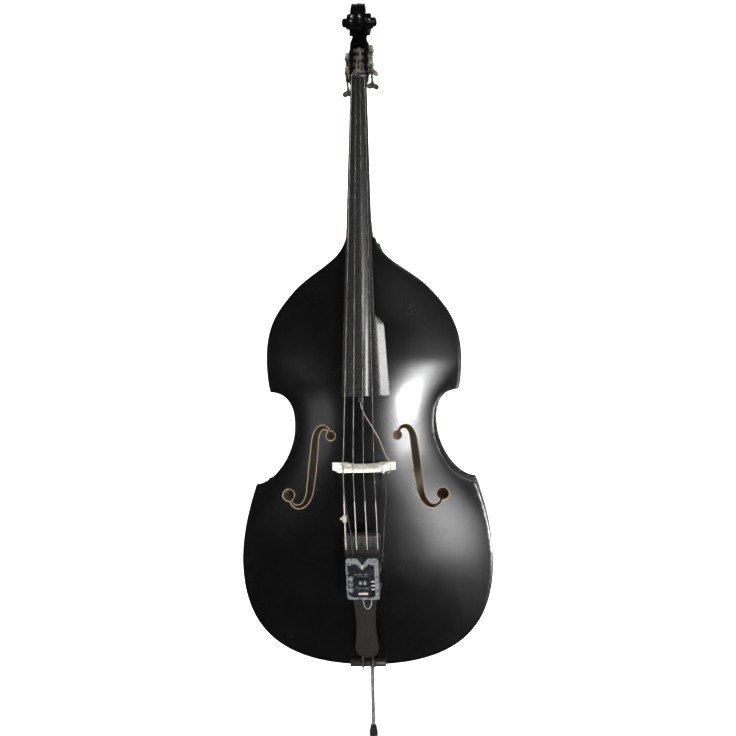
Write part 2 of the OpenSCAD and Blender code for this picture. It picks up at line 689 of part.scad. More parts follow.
module gear(i) {
    side = ROLLER_SIDE[i];
    pitch = 360 / gear_teeth;
    color(BRASS) head() translate([0, roller_y, ROLLER_Z[i]]) rotate([0, side * 90, 0]) {
        translate([0, 0, gear_x]) difference() {
            linear_extrude(gear_w) polygon([for (k = [0:gear_teeth - 1], c = [[-0.36, 12.4], [-0.17, gear_r],
                [0.17, gear_r], [0.36, 12.4]]) let (a = (k + 0.5 + c[0]) * pitch) c[1] * [cos(a), sin(a)]]);
            translate([0, 0, -1]) cylinder(h = gear_w + 2, r = stub_r + 0.02, $fn = steps);
        }
        translate([0, 0, gear_x + gear_w + fit]) cylinder(h = boss_h, r = 5.5, $fn = steps);
    }
}
KEY_HALF = [[44, 3.4], [48, 5], [51, 13], [57, 17], [64, 16.5], [69, 11], [67, 4]];
KEY_TURN = [0, 60, 30, 15];
module key(i) {
    color(BRASS) head() worm_axis(i) rotate([0, 0, KEY_TURN[i]]) {
        translate([0, 0, -14]) cylinder(h = 30, r = 3, $fn = steps);
        translate([0, 0, -8]) cylinder(h = 16, r = worm_r, $fn = steps);
        translate([0, 0, 14]) cylinder(h = 31, r = 3.4, $fn = steps);
        translate([0, 2.5, 0]) rotate([90, 0, 0]) linear_extrude(5)
            polygon(concat(KEY_HALF, [for (p = reverse(KEY_HALF)) [p[0], -p[1]]]) * [[0, 1], [1, 0]]);
    }
}
// Plate outline as [depth, height above its lower roller]
TUNER_OUTLINE = [[-5, -24], [8, -29], [22, -26], [32, -20], [33, 20], [33, 55], [24, 62], [8, 63],
    [-5, 54], [-6, 20]];
module tuner_plate(side) {
    first = side < 0 ? 0 : 3;
    second = side < 0 ? 1 : 2;
    low = ROLLER_Z[first];
    reach = shaft_x - plate_x - tuner_t / 2;
    color(BRASS) head() difference() {
        union() {
            translate([side > 0 ? plate_x : -plate_x - tuner_t, 0, low])
                rotate([90, 0, 90]) linear_extrude(tuner_t) polygon(loop_curve(TUNER_OUTLINE, 3));
            for (i = [first, second], z = bearing_z) worm_axis(i) translate([0, 0, z]) {
                cylinder(h = bearing_h, r = bearing_r, $fn = steps);
                translate([side > 0 ? -reach : 0, -bearing_r + 0.1, 0])
                    cube([reach, 2 * bearing_r - 0.2, bearing_h]);
            }
        }
        for (i = [first, second]) {
            along_x(roller_y, ROLLER_Z[i]) cylinder(h = 90, r = journal_r + fit, center = true, $fn = steps);
            worm_axis(i) translate([0, 0, -20]) cylinder(h = 34, r = 3 + fit, $fn = steps);
        }
    }
}
module tuner_screws() {
    color(STEEL) head() for (side = sides, spot = screw_spots)
        translate([side * (plate_x + tuner_t + fit), spot[0], (side < 0 ? ROLLER_Z[0] : ROLLER_Z[3]) + spot[1]])
        rotate([0, side * 90, 0]) cylinder(h = 1.1, r = 2.5, $fn = 32);
}

// ---- preamp on the tailpiece ----
case_top = -53;
case_mid = case_top - case_h / 2;
case_front = -tail_t / 2 - case_d;
panel_t = 2.5;
panel_front = case_front - panel_t;
knob_x = -30;
KNOB_Z = [-107, -122.3, -137.6];
fader_x = 5.5;
fader_z = -119;
jack_x = -20;
jack_y = -17;
light_x = 26;
module rounded(w, h, r) {
    polygon([for (c = [[1, 1, 0], [-1, 1, 90], [-1, -1, 180], [1, -1, 270]], a = [0:15:90])
        [c[0] * (w / 2 - r) + r * cos(c[2] + a), c[1] * (h / 2 - r) + r * sin(c[2] + a)]]);
}
module preamp_case() {
    color(EBONY) tail() difference() {
        tail_slab(case_front, -tail_t / 2) translate([0, case_mid]) rounded(case_w, case_h, 8);
        tail_slab(case_front - 1, -tail_t / 2 - 2) translate([0, case_mid]) rounded(case_w - 4, case_h - 4, 6);
        translate([jack_x, jack_y, case_top - case_h - 1]) cylinder(h = 6, r = 6 + fit, $fn = steps);
    }
}
module preamp_panel() {
    color(STEEL) tail() difference() {
        tail_slab(panel_front, case_front) translate([0, case_mid]) rounded(case_w, case_h, 8);
        for (z = KNOB_Z) translate([knob_x, 0, z]) rotate([90, 0, 0])
            cylinder(h = 40, r = 3 + fit, $fn = steps);
        for (side = sides) translate([side * fader_x - 1.6, -40, fader_z - 12]) cube([3.2, 40, 24]);
    }
}
module preamp_board() {
    color(BOARD_GREEN) tail() tail_slab(-13.6, -12)
        translate([0, case_mid + 5]) rounded(case_w - 8, case_h - 40, 3);
}
module preamp_knob(z) {
    color(STEEL) tail() translate([knob_x, panel_front - gap, z]) rotate([90, 0, 0]) {
        cylinder(h = 8, r = 6.4, $fn = steps);
        translate([0, 0, -12]) cylinder(h = 13, r = 3, $fn = steps);
    }
}
module preamp_fader(side) {
    color(STEEL) tail() translate([side * fader_x, panel_front, fader_z]) {
        translate([-3.6, -5, -4.5]) cube([7.2, 5 - gap, 9]);
        translate([-1.2, -1, -2.5]) cube([2.4, 13, 5]);
    }
}
module preamp_lights() {
    color(BONE) tail() for (z = [-117, -127.5, -138])
        translate([light_x - 5, panel_front - 1.3, z - 2]) cube([10, 1.3, 4]);
}
module preamp_jack() {
    color(STEEL) tail() translate([jack_x, jack_y, case_top - case_h - 4]) difference() {
        cylinder(h = 22, r = 6, $fn = steps);
        translate([0, 0, -1]) cylinder(h = 19, r = 3.25, $fn = steps);
    }
}
module preamp_strap() {
    wall = 1.6;
    out = case_w / 2 + 0.3;
    color(STEEL) tail() for (z = [case_top - 42, case_top - case_h + 26]) translate([0, 0, z - 5])
        linear_extrude(10)
        polygon([[-out, case_front + 8], [-out - wall, case_front + 8], [-out - wall, tail_t / 2 + 0.2 + wall],
            [out + wall, tail_t / 2 + 0.2 + wall], [out + wall, case_front + 8], [out, case_front + 8],
            [out, tail_t / 2 + 0.2], [-out, tail_t / 2 + 0.2]]);
}

// ---- pickups, their wires and the wolf eliminator ----
module bridge_pickups() {
    color(STEEL) for (side = sides) translate([side * 52, -162, bridge_z - 15.4])
        cylinder(h = 5, r = 10, $fn = steps);
}
ball_at = [4, crown_end + 10, board_end_z - 8.2];
module board_pickup() {
    color(STEEL) translate(ball_at) {
        sphere(r = 6.5, $fn = 32);
        cylinder(h = 8, r = 4, $fn = steps);
    }
}
wire_r = 1.1;
// Bass-side pickup lead, over the tailpiece's top edge and into the case
LEFT_LEAD = [[-50, -166, 717.5], [-50, -167, 708], [-48, -178, 680], [-42, -196, 640], [-34, -215, 606],
    [-28, -235, 584], [-26, -243, 574]];
// Treble-side pickup lead, outside the G string and into the case's side
RIGHT_LEAD = [[56, -166, 717.5], [57, -167, 708], [60, -176, 680], [59, -190, 640], [56, -206, 600],
    [54, -216, 560], [52, -218, 530]];
// Fingerboard pickup lead, joined to the treble-side pickup
BOARD_LEAD = [[4, -230, 901.3], [5, -227, 892], [14, -221, 868], [32, -212, 836], [46, -202, 808],
    [56, -193, 780], [64, -184, 760], [71, -174, 745], [72, -166, 732], [70, -160, 723], [63, -157, 717]];
// Battery lead that hangs as a loop below the case, in the tailpiece frame
LOOP_LEAD = [[18, -17, -167.2], [18.5, -17.5, -178], [16, -19, -190], [8, -20, -197], [0, -19, -190],
    [-2, -17.5, -178], [-2, -17, -167.2]];
module pickup_wires() {
    left_end = [[-26, -15.2, -12], [-25, -15.4, -32], [-24, -17, -52.8]];
    right_end = [[50, -17, -64], [46, -17, -71], [42.2, -17, -72.5]];
    left = concat(LEFT_LEAD, [for (p = left_end) tail_point(p)]);
    right = concat(RIGHT_LEAD, [for (p = right_end) tail_point(p)]);
    color(SILK) {
        tube(route_curve(left, 2), wire_r);
        tube(route_curve(right, 2), wire_r);
        tube(route_curve(BOARD_LEAD, 2), wire_r);
        tube(route_curve([for (p = LOOP_LEAD) tail_point(p)], 3), wire_r);
    }
}
module wolf_eliminator() {
    a = string_route(0)[2];
    b = string_route(0)[3];
    color(BRASS) aim(a, b) translate([0, 0, 40]) difference() {
        union() {
            cylinder(h = 16, r = 5.5, $fn = steps);
            translate([-11, 0, 8]) rotate([0, 90, 0]) cylinder(h = 8, r = 3, $fn = steps);
        }
        translate([0, 0, -1]) cylinder(h = 18, r = STRING_R[0] + 0.15, $fn = steps);
    }
}

// ---- one line per node ----
top_plate();
back_plate();
rib_lower(-1);  // rib_lower_left
rib_lower(1);  // rib_lower_right
rib(RIB_WAIST, -1);  // rib_waist_left
rib(RIB_WAIST, 1);  // rib_waist_right
rib(RIB_UPPER, -1);  // rib_upper_left
rib(RIB_UPPER, 1);  // rib_upper_right
linings();
neck_block();
end_block();
corner_blocks();
bass_bar();
sound_post();
neck();
fingerboard();
nut();
bridge();
tailpiece();
tail_bar();
tailgut();
saddle();
string(0);  // string_e
string(1);  // string_a
string(2);  // string_d
string(3);  // string_g
endpin_collar();
endpin_rod();
endpin_screw();
endpin_foot();
tuner_plate(-1);  // tuner_plate_left
tuner_plate(1);  // tuner_plate_right
roller(0);  // roller_e
roller(1);  // roller_a
roller(2);  // roller_d
roller(3);  // roller_g
gear(0);  // gear_e
gear(1);  // gear_a
gear(2);  // gear_d
gear(3);  // gear_g
key(0);  // key_e
key(1);  // key_a
key(2);  // key_d
key(3);  // key_g
tuner_screws();
preamp_case();
preamp_panel();
preamp_board();
preamp_knob(KNOB_Z[0]);  // preamp_knob_top
preamp_knob(KNOB_Z[1]);  // preamp_knob_middle
preamp_knob(KNOB_Z[2]);  // preamp_knob_bottom
preamp_fader(-1);  // preamp_fader_left
preamp_fader(1);  // preamp_fader_right
preamp_lights();
preamp_jack();
preamp_strap();
bridge_pickups();
board_pickup();
pickup_wires();
wolf_eliminator();
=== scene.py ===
"""Double bass in gloss black lacquer: the visual model, in the CAD's frame (+Z up, -Y front).

Lengths are worked out in millimetres, and MM turns them into metres where a mesh is made.
"""
import json
import math

import bmesh
import bpy
import numpy as np
from mathutils import Matrix, Vector
from mathutils.geometry import delaunay_2d_cdt


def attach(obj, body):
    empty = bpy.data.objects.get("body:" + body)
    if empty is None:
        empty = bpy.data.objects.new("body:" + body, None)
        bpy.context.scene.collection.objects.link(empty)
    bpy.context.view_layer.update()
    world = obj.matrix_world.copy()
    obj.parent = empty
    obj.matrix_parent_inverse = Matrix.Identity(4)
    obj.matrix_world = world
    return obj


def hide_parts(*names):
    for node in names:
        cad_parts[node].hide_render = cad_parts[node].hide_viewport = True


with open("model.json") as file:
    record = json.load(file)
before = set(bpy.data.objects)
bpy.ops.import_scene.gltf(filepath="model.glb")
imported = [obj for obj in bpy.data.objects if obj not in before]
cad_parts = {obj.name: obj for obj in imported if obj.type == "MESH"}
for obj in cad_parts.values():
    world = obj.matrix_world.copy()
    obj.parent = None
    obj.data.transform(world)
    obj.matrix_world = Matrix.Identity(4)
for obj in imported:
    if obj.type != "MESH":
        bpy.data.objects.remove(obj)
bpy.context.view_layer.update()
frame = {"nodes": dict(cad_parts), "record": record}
MM = 0.001
NODE_BODY = {n: b for b, ns in frame["record"]["behaviour"]["bodies"].items() for n in ns}


# ---------------------------------------------------------------- small maths
def mix(a, b, t):
    return a + (b - a) * t


def ease(s):
    c = min(1.0, max(0.0, s))
    return c * c * (3 - 2 * c)


def arr(*v):
    return np.array(v, float)


def cubic(p, t):
    return (1 - t) ** 3 * p[0] + 3 * (1 - t) ** 2 * t * p[1] + 3 * (1 - t) * t * t * p[2] + t ** 3 * p[3]


def heading(p, t):
    return (1 - t) ** 2 * (p[1] - p[0]) + 2 * (1 - t) * t * (p[2] - p[1]) + t * t * (p[3] - p[2])


def station(p, t):
    """Point and outward normal on a span that runs up the treble side."""
    d = heading(p, t)
    d = d / np.linalg.norm(d)
    return cubic(p, t), arr(d[1], -d[0])


def catmull(a, b, c, d, t):
    """Point between b and c on a curve that also runs through a and d."""
    return 0.5 * (2 * b + (c - a) * t + (2 * a - 5 * b + 4 * c - d) * t * t
                  + (3 * b - 3 * c + d - a) * t ** 3)


def through(pts, n):
    """Curve from the second point to the last but one, with n steps between each two."""
    return [catmull(*pts[i:i + 4], j / n) for i in range(len(pts) - 3) for j in range(n)]


def smooth_line(points, n):
    """Open curve through the given points."""
    pts = [np.array(p, float) for p in points]
    return through([2 * pts[0] - pts[1]] + pts + [2 * pts[-1] - pts[-2]], n) + [pts[-1]]


def smooth_loop(points, n):
    """Closed curve through the given points."""
    pts = [np.array(p, float) for p in points]
    return through([pts[-1]] + pts + pts[:2], n)


def hermite(knots, x, flat_ends=False):
    """Smooth values at x between knots, where each knot is an x and its values."""
    last = len(knots) - 1
    i = max([j for j in range(last) if x >= knots[j][0]], default=0)
    x0, x1 = knots[i][0], knots[i + 1][0]
    a, b = np.array(knots[i][1:], float), np.array(knots[i + 1][1:], float)
    before, after = knots[max(0, i - 1)], knots[min(last, i + 2)]
    m0 = (b - np.array(before[1:], float)) / (x1 - before[0])
    m1 = (np.array(after[1:], float) - a) / (after[0] - x0)
    if flat_ends:
        m0, m1 = m0 * (i > 0), m1 * (i < last - 1)
    t, d = (x - x0) / (x1 - x0), x1 - x0
    return ((2 * t ** 3 - 3 * t * t + 1) * a + (t ** 3 - 2 * t * t + t) * d * m0
            + (3 * t * t - 2 * t ** 3) * b + (t ** 3 - t * t) * d * m1)


def around(n, start=0.0):
    """Angles of n even steps round a circle."""
    return [2 * math.pi * (k + start) / n for k in range(n)]


def arc_drop(x, r):
    return r - math.sqrt(r * r - x * x)


# ---------------------------------------------------------------- body outline, millimetres
Z0, Z1 = 214.0, 1330.0
LOWER_H, WAIST_H, UPPER_H, HEEL_H = 328.5, 183.0, 255.0, 39.0
LOWER_C, UPPER_C = arr(287, Z0 + 475), arr(246, Z0 + 715)
WAIST_Z, UPPER_Z = Z0 + 629, Z0 + 798
SHOULDER = arr(175, Z0 + 983)
SPANS = {
    "lower_a": [arr(0, Z0), arr(263, Z0), arr(LOWER_H, Z0 + 127), arr(LOWER_H, Z0 + 274)],
    "lower_b": [arr(LOWER_H, Z0 + 274), arr(LOWER_H, Z0 + 343), LOWER_C + arr(19, -49), LOWER_C],
    "waist_a": [LOWER_C, LOWER_C + arr(-48, 2), arr(WAIST_H, WAIST_Z - 78), arr(WAIST_H, WAIST_Z)],
    "waist_b": [arr(WAIST_H, WAIST_Z), arr(WAIST_H, WAIST_Z + 25), arr(WAIST_H + 3, UPPER_C[1] - 4), UPPER_C],
    "upper_a": [UPPER_C, UPPER_C + arr(6, 18), arr(UPPER_H, UPPER_Z - 29), arr(UPPER_H, UPPER_Z)],
    "upper_b": [arr(UPPER_H, UPPER_Z), arr(UPPER_H, UPPER_Z + 94), SHOULDER + arr(48, -53), SHOULDER],
    "shoulder": [SHOULDER, SHOULDER + arr(-54, 54), arr(54, Z1 - 62), arr(HEEL_H, Z1)],
}
SPAN_STEPS = {"lower_a": 74, "lower_b": 26, "waist_a": 26, "waist_b": 18, "upper_a": 12, "upper_b": 30,
              "shoulder": 26}
RIB_FRONT, RIB_BACK, RIB_TAPER = -95.0, 95.0, 45.0
PLATE_T, PLATE_EDGE, RIB_T, ARCH_H = 6.0, 5.0, 3.0, 24.0


def back_y(z):
    return RIB_BACK - RIB_TAPER * (max(0.0, z - UPPER_C[1]) / (Z1 - UPPER_C[1])) ** 2


def right_outline():
    out = []
    for name, n in SPAN_STEPS.items():
        p = SPANS[name]
        out += [cubic(p, i / n) for i in range(n)]
    return out + [arr(HEEL_H, Z1)]


RIGHT = right_outline()
OUTLINE = RIGHT + [arr(-p[0], p[1]) for p in reversed(RIGHT[1:])]
OUTLINE_X, OUTLINE_Z = np.array(sorted(RIGHT, key=lambda p: p[1])).T


def half_width(z):
    return float(np.interp(z, OUTLINE_Z, OUTLINE_X))


# Half width that carries the arching: the outline with its corners left out
ARCH_KNOTS = [(274, 328.5), (335, 323), (390, 302), (440, 270), (480, 240), (520, 212), (560, 194),
              (629, 182), (680, 186), (715, 202), (750, 229), (798, 254.5)]


def arch_half(z):
    s = z - Z0
    if s <= ARCH_KNOTS[0][0] or s >= ARCH_KNOTS[-1][0]:
        return half_width(z)
    return float(hermite(ARCH_KNOTS, s, True)[0])


def arch(x, z):
    u = min(1.0, abs(x) / max(1.0, arch_half(z)))
    return ARCH_H * ease(min((z - Z0) / 300, (Z1 - z) / 340)) * (0.5 + 0.5 * math.cos(math.pi * u)) ** 0.8


# ---------------------------------------------------------------- strings, board, head and tail frames
NUT_Z, BRIDGE_Z, BRIDGE_TOP = 1755.0, 734.0, 287.0
BOARD_END, BOARD_R, BRIDGE_R = 916.0, 74.0, 78.0
NUT_W, BOARD_W, WING = 42.0, 88.0, 33.0
NUT_SPREAD, BRIDGE_SPREAD, TAIL_SPREAD = 33.0, 77.0, 80.0
STRING_R = [1.4, 1.15, 0.95, 0.75]
STRING_NAMES = ["e", "a", "d", "g"]
SLOPE = (BRIDGE_TOP - 77.7) / (NUT_Z - BRIDGE_Z)


def string_y(z):
    return -BRIDGE_TOP + SLOPE * (z - BRIDGE_Z)


CROWN_NUT, CROWN_END = string_y(NUT_Z) + 2, string_y(BOARD_END) + 9


def down_board(z):
    return (NUT_Z - z) / (NUT_Z - BOARD_END)


def crown_y(z):
    return mix(CROWN_NUT, CROWN_END, down_board(z))


def under_y(z):
    return crown_y(z) + mix(14, 21, down_board(z))


def board_half(z):
    return mix(NUT_W, BOARD_W, down_board(z)) / 2


def wing(z):
    return (WING - 8) * ease((1130 - z) / 36) + 8 * max(0.0, 1094 - z) / (1094 - BOARD_END)


LEAN = math.radians(16)
HEAD_Y = under_y(NUT_Z)


def head(p):
    """Place of a point given across, back from and along the leaning pegbox."""
    x, v, u = p
    return arr(x, HEAD_Y + v * math.cos(LEAN) + u * math.sin(LEAN),
               NUT_Z - v * math.sin(LEAN) + u * math.cos(LEAN))


def in_head(p):
    """How far back from and along the pegbox a point lies."""
    dy, dz = p[1] - HEAD_Y, p[2] - NUT_Z
    return arr(dy * math.cos(LEAN) - dz * math.sin(LEAN), dy * math.sin(LEAN) + dz * math.cos(LEAN))


TAIL_Z, SADDLE_Y = 572.0, -127.0
TAIL_TAN = (BRIDGE_TOP - 16 + SADDLE_Y) / (BRIDGE_Z - Z0 - 12)
TAIL_LEAN = math.atan(TAIL_TAN)
TAIL_Y = SADDLE_Y - (TAIL_Z - Z0 - 12) * TAIL_TAN


def tail(p):
    """Place of a point given across, out of and along the tailpiece."""
    x, n, s = p
    return arr(x, TAIL_Y + n * math.cos(TAIL_LEAN) - s * math.sin(TAIL_LEAN),
               TAIL_Z + n * math.sin(TAIL_LEAN) + s * math.cos(TAIL_LEAN))


def spread(i, total):
    return total * (i / 3 - 0.5)


ROLLER_V, ROLLER_R, GAP = 12.0, 7.0, 0.3
ROLLER_U, ROLLER_SIDE, ROLLER_X = [26, 68, 89, 47], [-1, -1, 1, 1], [-8, -4, 4, 8]


def nut_point(i):
    x = spread(i, NUT_SPREAD)
    return arr(x, CROWN_NUT - 2.2 + arc_drop(x, BOARD_R), NUT_Z + 5)


def string_route(i):
    """Points from the tailpiece over its bar, the bridge and the nut to the roller, and the angle there."""
    r = STRING_R[i]
    n = nut_point(i)
    c = arr(ROLLER_V, ROLLER_U[i])
    v, rr = in_head(n) - c, ROLLER_R + r + GAP
    a = math.atan2(v[1], v[0]) - math.acos(rr / np.linalg.norm(v))
    t = c + rr * arr(math.cos(a), math.sin(a))
    x, bx = spread(i, TAIL_SPREAD), spread(i, BRIDGE_SPREAD)
    return [tail((x, -9.8, -38)), tail((x, -13.2 - r, -31)), tail((x, -13.2 - r, -2)),
            arr(bx, -BRIDGE_TOP + arc_drop(bx, BRIDGE_R) - r - 0.1, BRIDGE_Z), n,
            head((ROLLER_X[i], t[0], t[1]))], a


# ---------------------------------------------------------------- mesh helpers
def loft(rings):
    """Closed skin over rings of equal count, with its two end caps as the last two faces."""
    n = len(rings[0])
    verts = [tuple(p) for ring in rings for p in ring]
    faces = []
    for j in range(len(rings) - 1):
        for i in range(n):
            a, b = j * n + i, j * n + (i + 1) % n
            faces.append((a, b, b + n, a + n))
    faces += [tuple(range(n))[::-1], tuple(range(len(verts) - n, len(verts)))]
    return verts, faces


def join(*shapes):
    verts, faces = [], []
    for v, f in shapes:
        k = len(verts)
        verts += list(v)
        faces += [tuple(i + k for i in q) for q in f]
    return verts, faces


def lathe(profile, steps=48, place=lambda p: p):
    """Turned solid from (radius, height) pairs round a local z axis."""
    return loft([[place((r * math.cos(a), r * math.sin(a), z)) for a in around(steps)] for r, z in profile])


def frames_along(route):
    """Each point of a route with two directions square to it, which twist as little as they can."""
    pts = [np.array(p, float) for p in route]
    out, u = [], None
    for i, p in enumerate(pts):
        d = pts[min(i + 1, len(pts) - 1)] - pts[max(i - 1, 0)]
        d = d / np.linalg.norm(d)
        if u is None:
            u = np.cross(d, arr(0, 1, 0) if abs(d[0]) > 0.8 else arr(1, 0, 0))
        u = u - d * np.dot(u, d)
        u = u / np.linalg.norm(u)
        out.append((p, u, np.cross(d, u)))
    return out


def tube(route, r, sides=12):
    """Round bar along a route. The radius is a number, or a function of the share of the route."""
    radius = r if callable(r) else (lambda t: r)
    fr = frames_along(route)
    last = len(fr) - 1
    return loft([[p + radius(i / last) * (math.cos(a) * u + math.sin(a) * v) for a in around(sides)]
                 for i, (p, u, v) in enumerate(fr)])


def slab(outline, lo, hi, place, rim=0.8, steps=3):
    """Plate with rounded edges: outline as (a, b) pairs anticlockwise, between two depths."""
    pts = [np.array(p, float) for p in outline]
    k = len(pts)
    inward = []
    for i in range(k):
        d = pts[(i + 1) % k] - pts[i - 1]
        d = d / max(1e-9, np.linalg.norm(d))
        inward.append(arr(-d[1], d[0]))
    rings = []
    for j in range(steps + 1):
        a = math.pi / 2 * j / steps
        rings.append((rim * (1 - math.sin(a)), lo + rim * (1 - math.cos(a))))
    rings += [(d, lo + hi - h) for d, h in reversed(rings)]
    sides = list(zip(pts, inward))
    return loft([[place((p[0] + d * w[0], p[1] + d * w[1], h)) for p, w in sides] for d, h in rings])


def new_object(name, data):
    ob = bpy.data.objects.new(name, data)
    bpy.context.collection.objects.link(ob)
    return ob


def evaluated_mesh(ob):
    """The mesh that an object comes to. The object itself is then removed."""
    me = bpy.data.meshes.new_from_object(ob.evaluated_get(bpy.context.evaluated_depsgraph_get()))
    bpy.data.objects.remove(ob)
    return me


def clean(me, weld=0.0, flat=0.0):
    """Joins points nearer than weld, dissolves edges flatter than flat, and turns every face outwards."""
    bm = bmesh.new()
    bm.from_mesh(me)
    if weld:
        bmesh.ops.remove_doubles(bm, verts=bm.verts, dist=weld)
    if flat:
        bmesh.ops.dissolve_limit(bm, angle_limit=flat, verts=bm.verts, edges=bm.edges)
    bmesh.ops.recalc_face_normals(bm, faces=bm.faces)
    bm.to_mesh(me)
    bm.free()


def cover(me, mat):
    me.materials.clear()
    me.materials.append(mat)


def make(name, shape, mats, body="bass", stands_for=(), sharp=38, index=None, like=None):
    """A piece from (points, faces). It rides on a body and may stand for CAD nodes."""
    verts, faces = shape
    me = bpy.data.meshes.new(name)
    me.from_pydata([(v[0] * MM, v[1] * MM, v[2] * MM) for v in verts], [], faces)
    for m in mats if isinstance(mats, (list, tuple)) else [mats]:
        me.materials.append(m)
    if index is not None:
        me.polygons.foreach_set("material_index", index)
    clean(me)
    finish_piece(name, me, body, stands_for, sharp)


def finish_piece(name, me, body, stands_for, sharp):
    me.shade_smooth()
    me.set_sharp_from_angle(angle=math.radians(sharp))
    ob = new_object(name, me)
    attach(ob, body)
    nodes = [stands_for] if isinstance(stands_for, str) else list(stands_for)
    if nodes:
        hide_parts(*nodes)
    return ob


CAD_WELD, CAD_FLAT = 3e-6, math.radians(0.6)


def refine(node, mat, bevel):
    """The CAD node's own shape, with its edges rounded and a finished material."""
    me = frame["nodes"][node].data.copy()
    clean(me, CAD_WELD, CAD_FLAT)
    ob = new_object("bevelling", me)
    mod = ob.modifiers.new("bevel", "BEVEL")
    mod.width = bevel * MM
    mod.segments = 2
    mod.limit_method = "ANGLE"
    mod.angle_limit = math.radians(32)
    me = evaluated_mesh(ob)
    cover(me, mat)
    return finish_piece(node + "_finished", me, NODE_BODY[node], node, 45)


def cord_curve(name, route, radius, mat):
    cu = bpy.data.curves.new(name, "CURVE")
    cu.dimensions = "3D"
    cu.bevel_depth = radius * MM
    cu.bevel_resolution = 3
    cu.use_fill_caps = True
    sp = cu.splines.new("POLY")
    sp.points.add(len(route) - 1)
    for q, p in zip(sp.points, route):
        q.co = (p[0] * MM, p[1] * MM, p[2] * MM, 1)
    sp.use_smooth = True
    cu.materials.append(mat)
    ob = new_object(name, cu)
    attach(ob, "bass")
    return ob


def run_length(route):
    """Length of a route in metres."""
    return sum(float(np.linalg.norm(np.array(b) - np.array(a))) for a, b in zip(route, route[1:])) * MM


# ---------------------------------------------------------------- materials
def new_material(name, colour, rough, metal=0.0, **sockets):
    m = bpy.data.materials.new(name)
    m.use_nodes = True
    b = m.node_tree.nodes["Principled BSDF"]
    b.inputs["Base Color"].default_value = (*colour, 1)
    b.inputs["Roughness"].default_value = rough
    b.inputs["Metallic"].default_value = metal
    for k, v in sockets.items():
        b.inputs[k.replace("_", " ")].default_value = v
    return m


def node(m, kind, **values):
    n = m.node_tree.nodes.new(kind)
    for k, v in values.items():
        if k in n.inputs:
            n.inputs[k].default_value = v
        else:
            setattr(n, k, v)
    return n


def link(m, a, b):
    m.node_tree.links.new(a, b)


def place_of(m, scale=(1, 1, 1)):
    t = node(m, "ShaderNodeTexCoord")
    q = node(m, "ShaderNodeMapping", Scale=scale)
    link(m, t.outputs["Object"], q.inputs["Vector"])
    return q.outputs["Vector"]


def noise(m, vector, scale, detail=4.0, rough=0.55, distortion=0.0):
    n = node(m, "ShaderNodeTexNoise", Scale=scale, Detail=detail, Roughness=rough, Distortion=distortion)
    link(m, vector, n.inputs["Vector"])
    return n.outputs["Fac"]


def waves(m, vector, scale, distortion=0.0, detail=2.0, direction="Z", kind="BANDS"):
    n = node(m, "ShaderNodeTexWave", Scale=scale, Distortion=distortion, Detail=detail)
    n.wave_type = kind
    if kind == "BANDS":
        n.bands_direction = direction
    else:
        n.rings_direction = direction
    link(m, vector, n.inputs["Vector"])
    return n.outputs["Fac"]


def ramp(m, factor, stops):
    n = node(m, "ShaderNodeValToRGB")
    e = n.color_ramp.elements
    e[0].position, e[0].color = stops[0][0], (*stops[0][1], 1)
    e[1].position, e[1].color = stops[-1][0], (*stops[-1][1], 1)
    for at, c in stops[1:-1]:
        e.new(at).color = (*c, 1)
    link(m, factor, n.inputs["Fac"])
    return n.outputs["Color"]


def paint(m, factor, stops):
    link(m, ramp(m, factor, stops), m.node_tree.nodes["Principled BSDF"].inputs["Base Color"])


def vary_rough(m, factor, low, high):
    n = node(m, "ShaderNodeMapRange", **{"From Min": 0.3, "From Max": 0.7, "To Min": low, "To Max": high})
    link(m, factor, n.inputs["Value"])
    link(m, n.outputs["Result"], m.node_tree.nodes["Principled BSDF"].inputs["Roughness"])


def relief(m, height, strength, distance):
    n = node(m, "ShaderNodeBump", Strength=strength, Distance=distance)
    link(m, height, n.inputs["Height"])
    b = m.node_tree.nodes["Principled BSDF"]
    if b.inputs["Normal"].is_linked:
        link(m, b.inputs["Normal"].links[0].from_socket, n.inputs["Normal"])
    link(m, n.outputs["Normal"], b.inputs["Normal"])


def make_lacquer():
    m = new_material("black_lacquer", (0.001, 0.001, 0.0011), 0.24, Coat_Weight=0.4, Coat_Roughness=0.13,
                     Specular_IOR_Level=0.3)
    v = place_of(m)
    paint(m, noise(m, v, 9, 3), [(0.3, (0.0006, 0.0006, 0.0007)), (0.7, (0.0014, 0.0014, 0.0015))])
    vary_rough(m, noise(m, v, 14, 4, 0.6), 0.22, 0.28)
    relief(m, noise(m, v, 26, 3), 0.05, 0.0006)
    return m


def make_wood(name, dark, light, rough, scale=(9, 9, 0.7), grain=26.0, flecks=0.12, **sockets):
    m = new_material(name, light, rough, **sockets)
    v = place_of(m, scale)
    w = waves(m, v, grain, 3.5, 3, "X")
    paint(m, w, [(0.0, dark), (0.45, tuple(mix(a, b, 0.55) for a, b in zip(dark, light))), (1.0, light)])
    fine = noise(m, place_of(m, (160, 160, 9)), 5, 6, 0.6)
    vary_rough(m, fine, rough - 0.06, rough + 0.1)
    relief(m, fine, flecks, 0.0004)
    return m


def make_metal(name, dark, light, rough, patch, wear, **sockets):
    m = new_material(name, light, rough, **dict({"Metallic": 1.0}, **sockets))
    v = place_of(m)
    paint(m, noise(m, v, patch, 6, 0.62, 0.3), [(0.34, dark), (0.6, light)])
    vary_rough(m, noise(m, v, patch * 2.2, 5, 0.6), rough - wear * 0.5, rough + wear)
    relief(m, noise(m, v, 900, 2), 0.12, 0.0002)
    return m


SPECK = 0.25


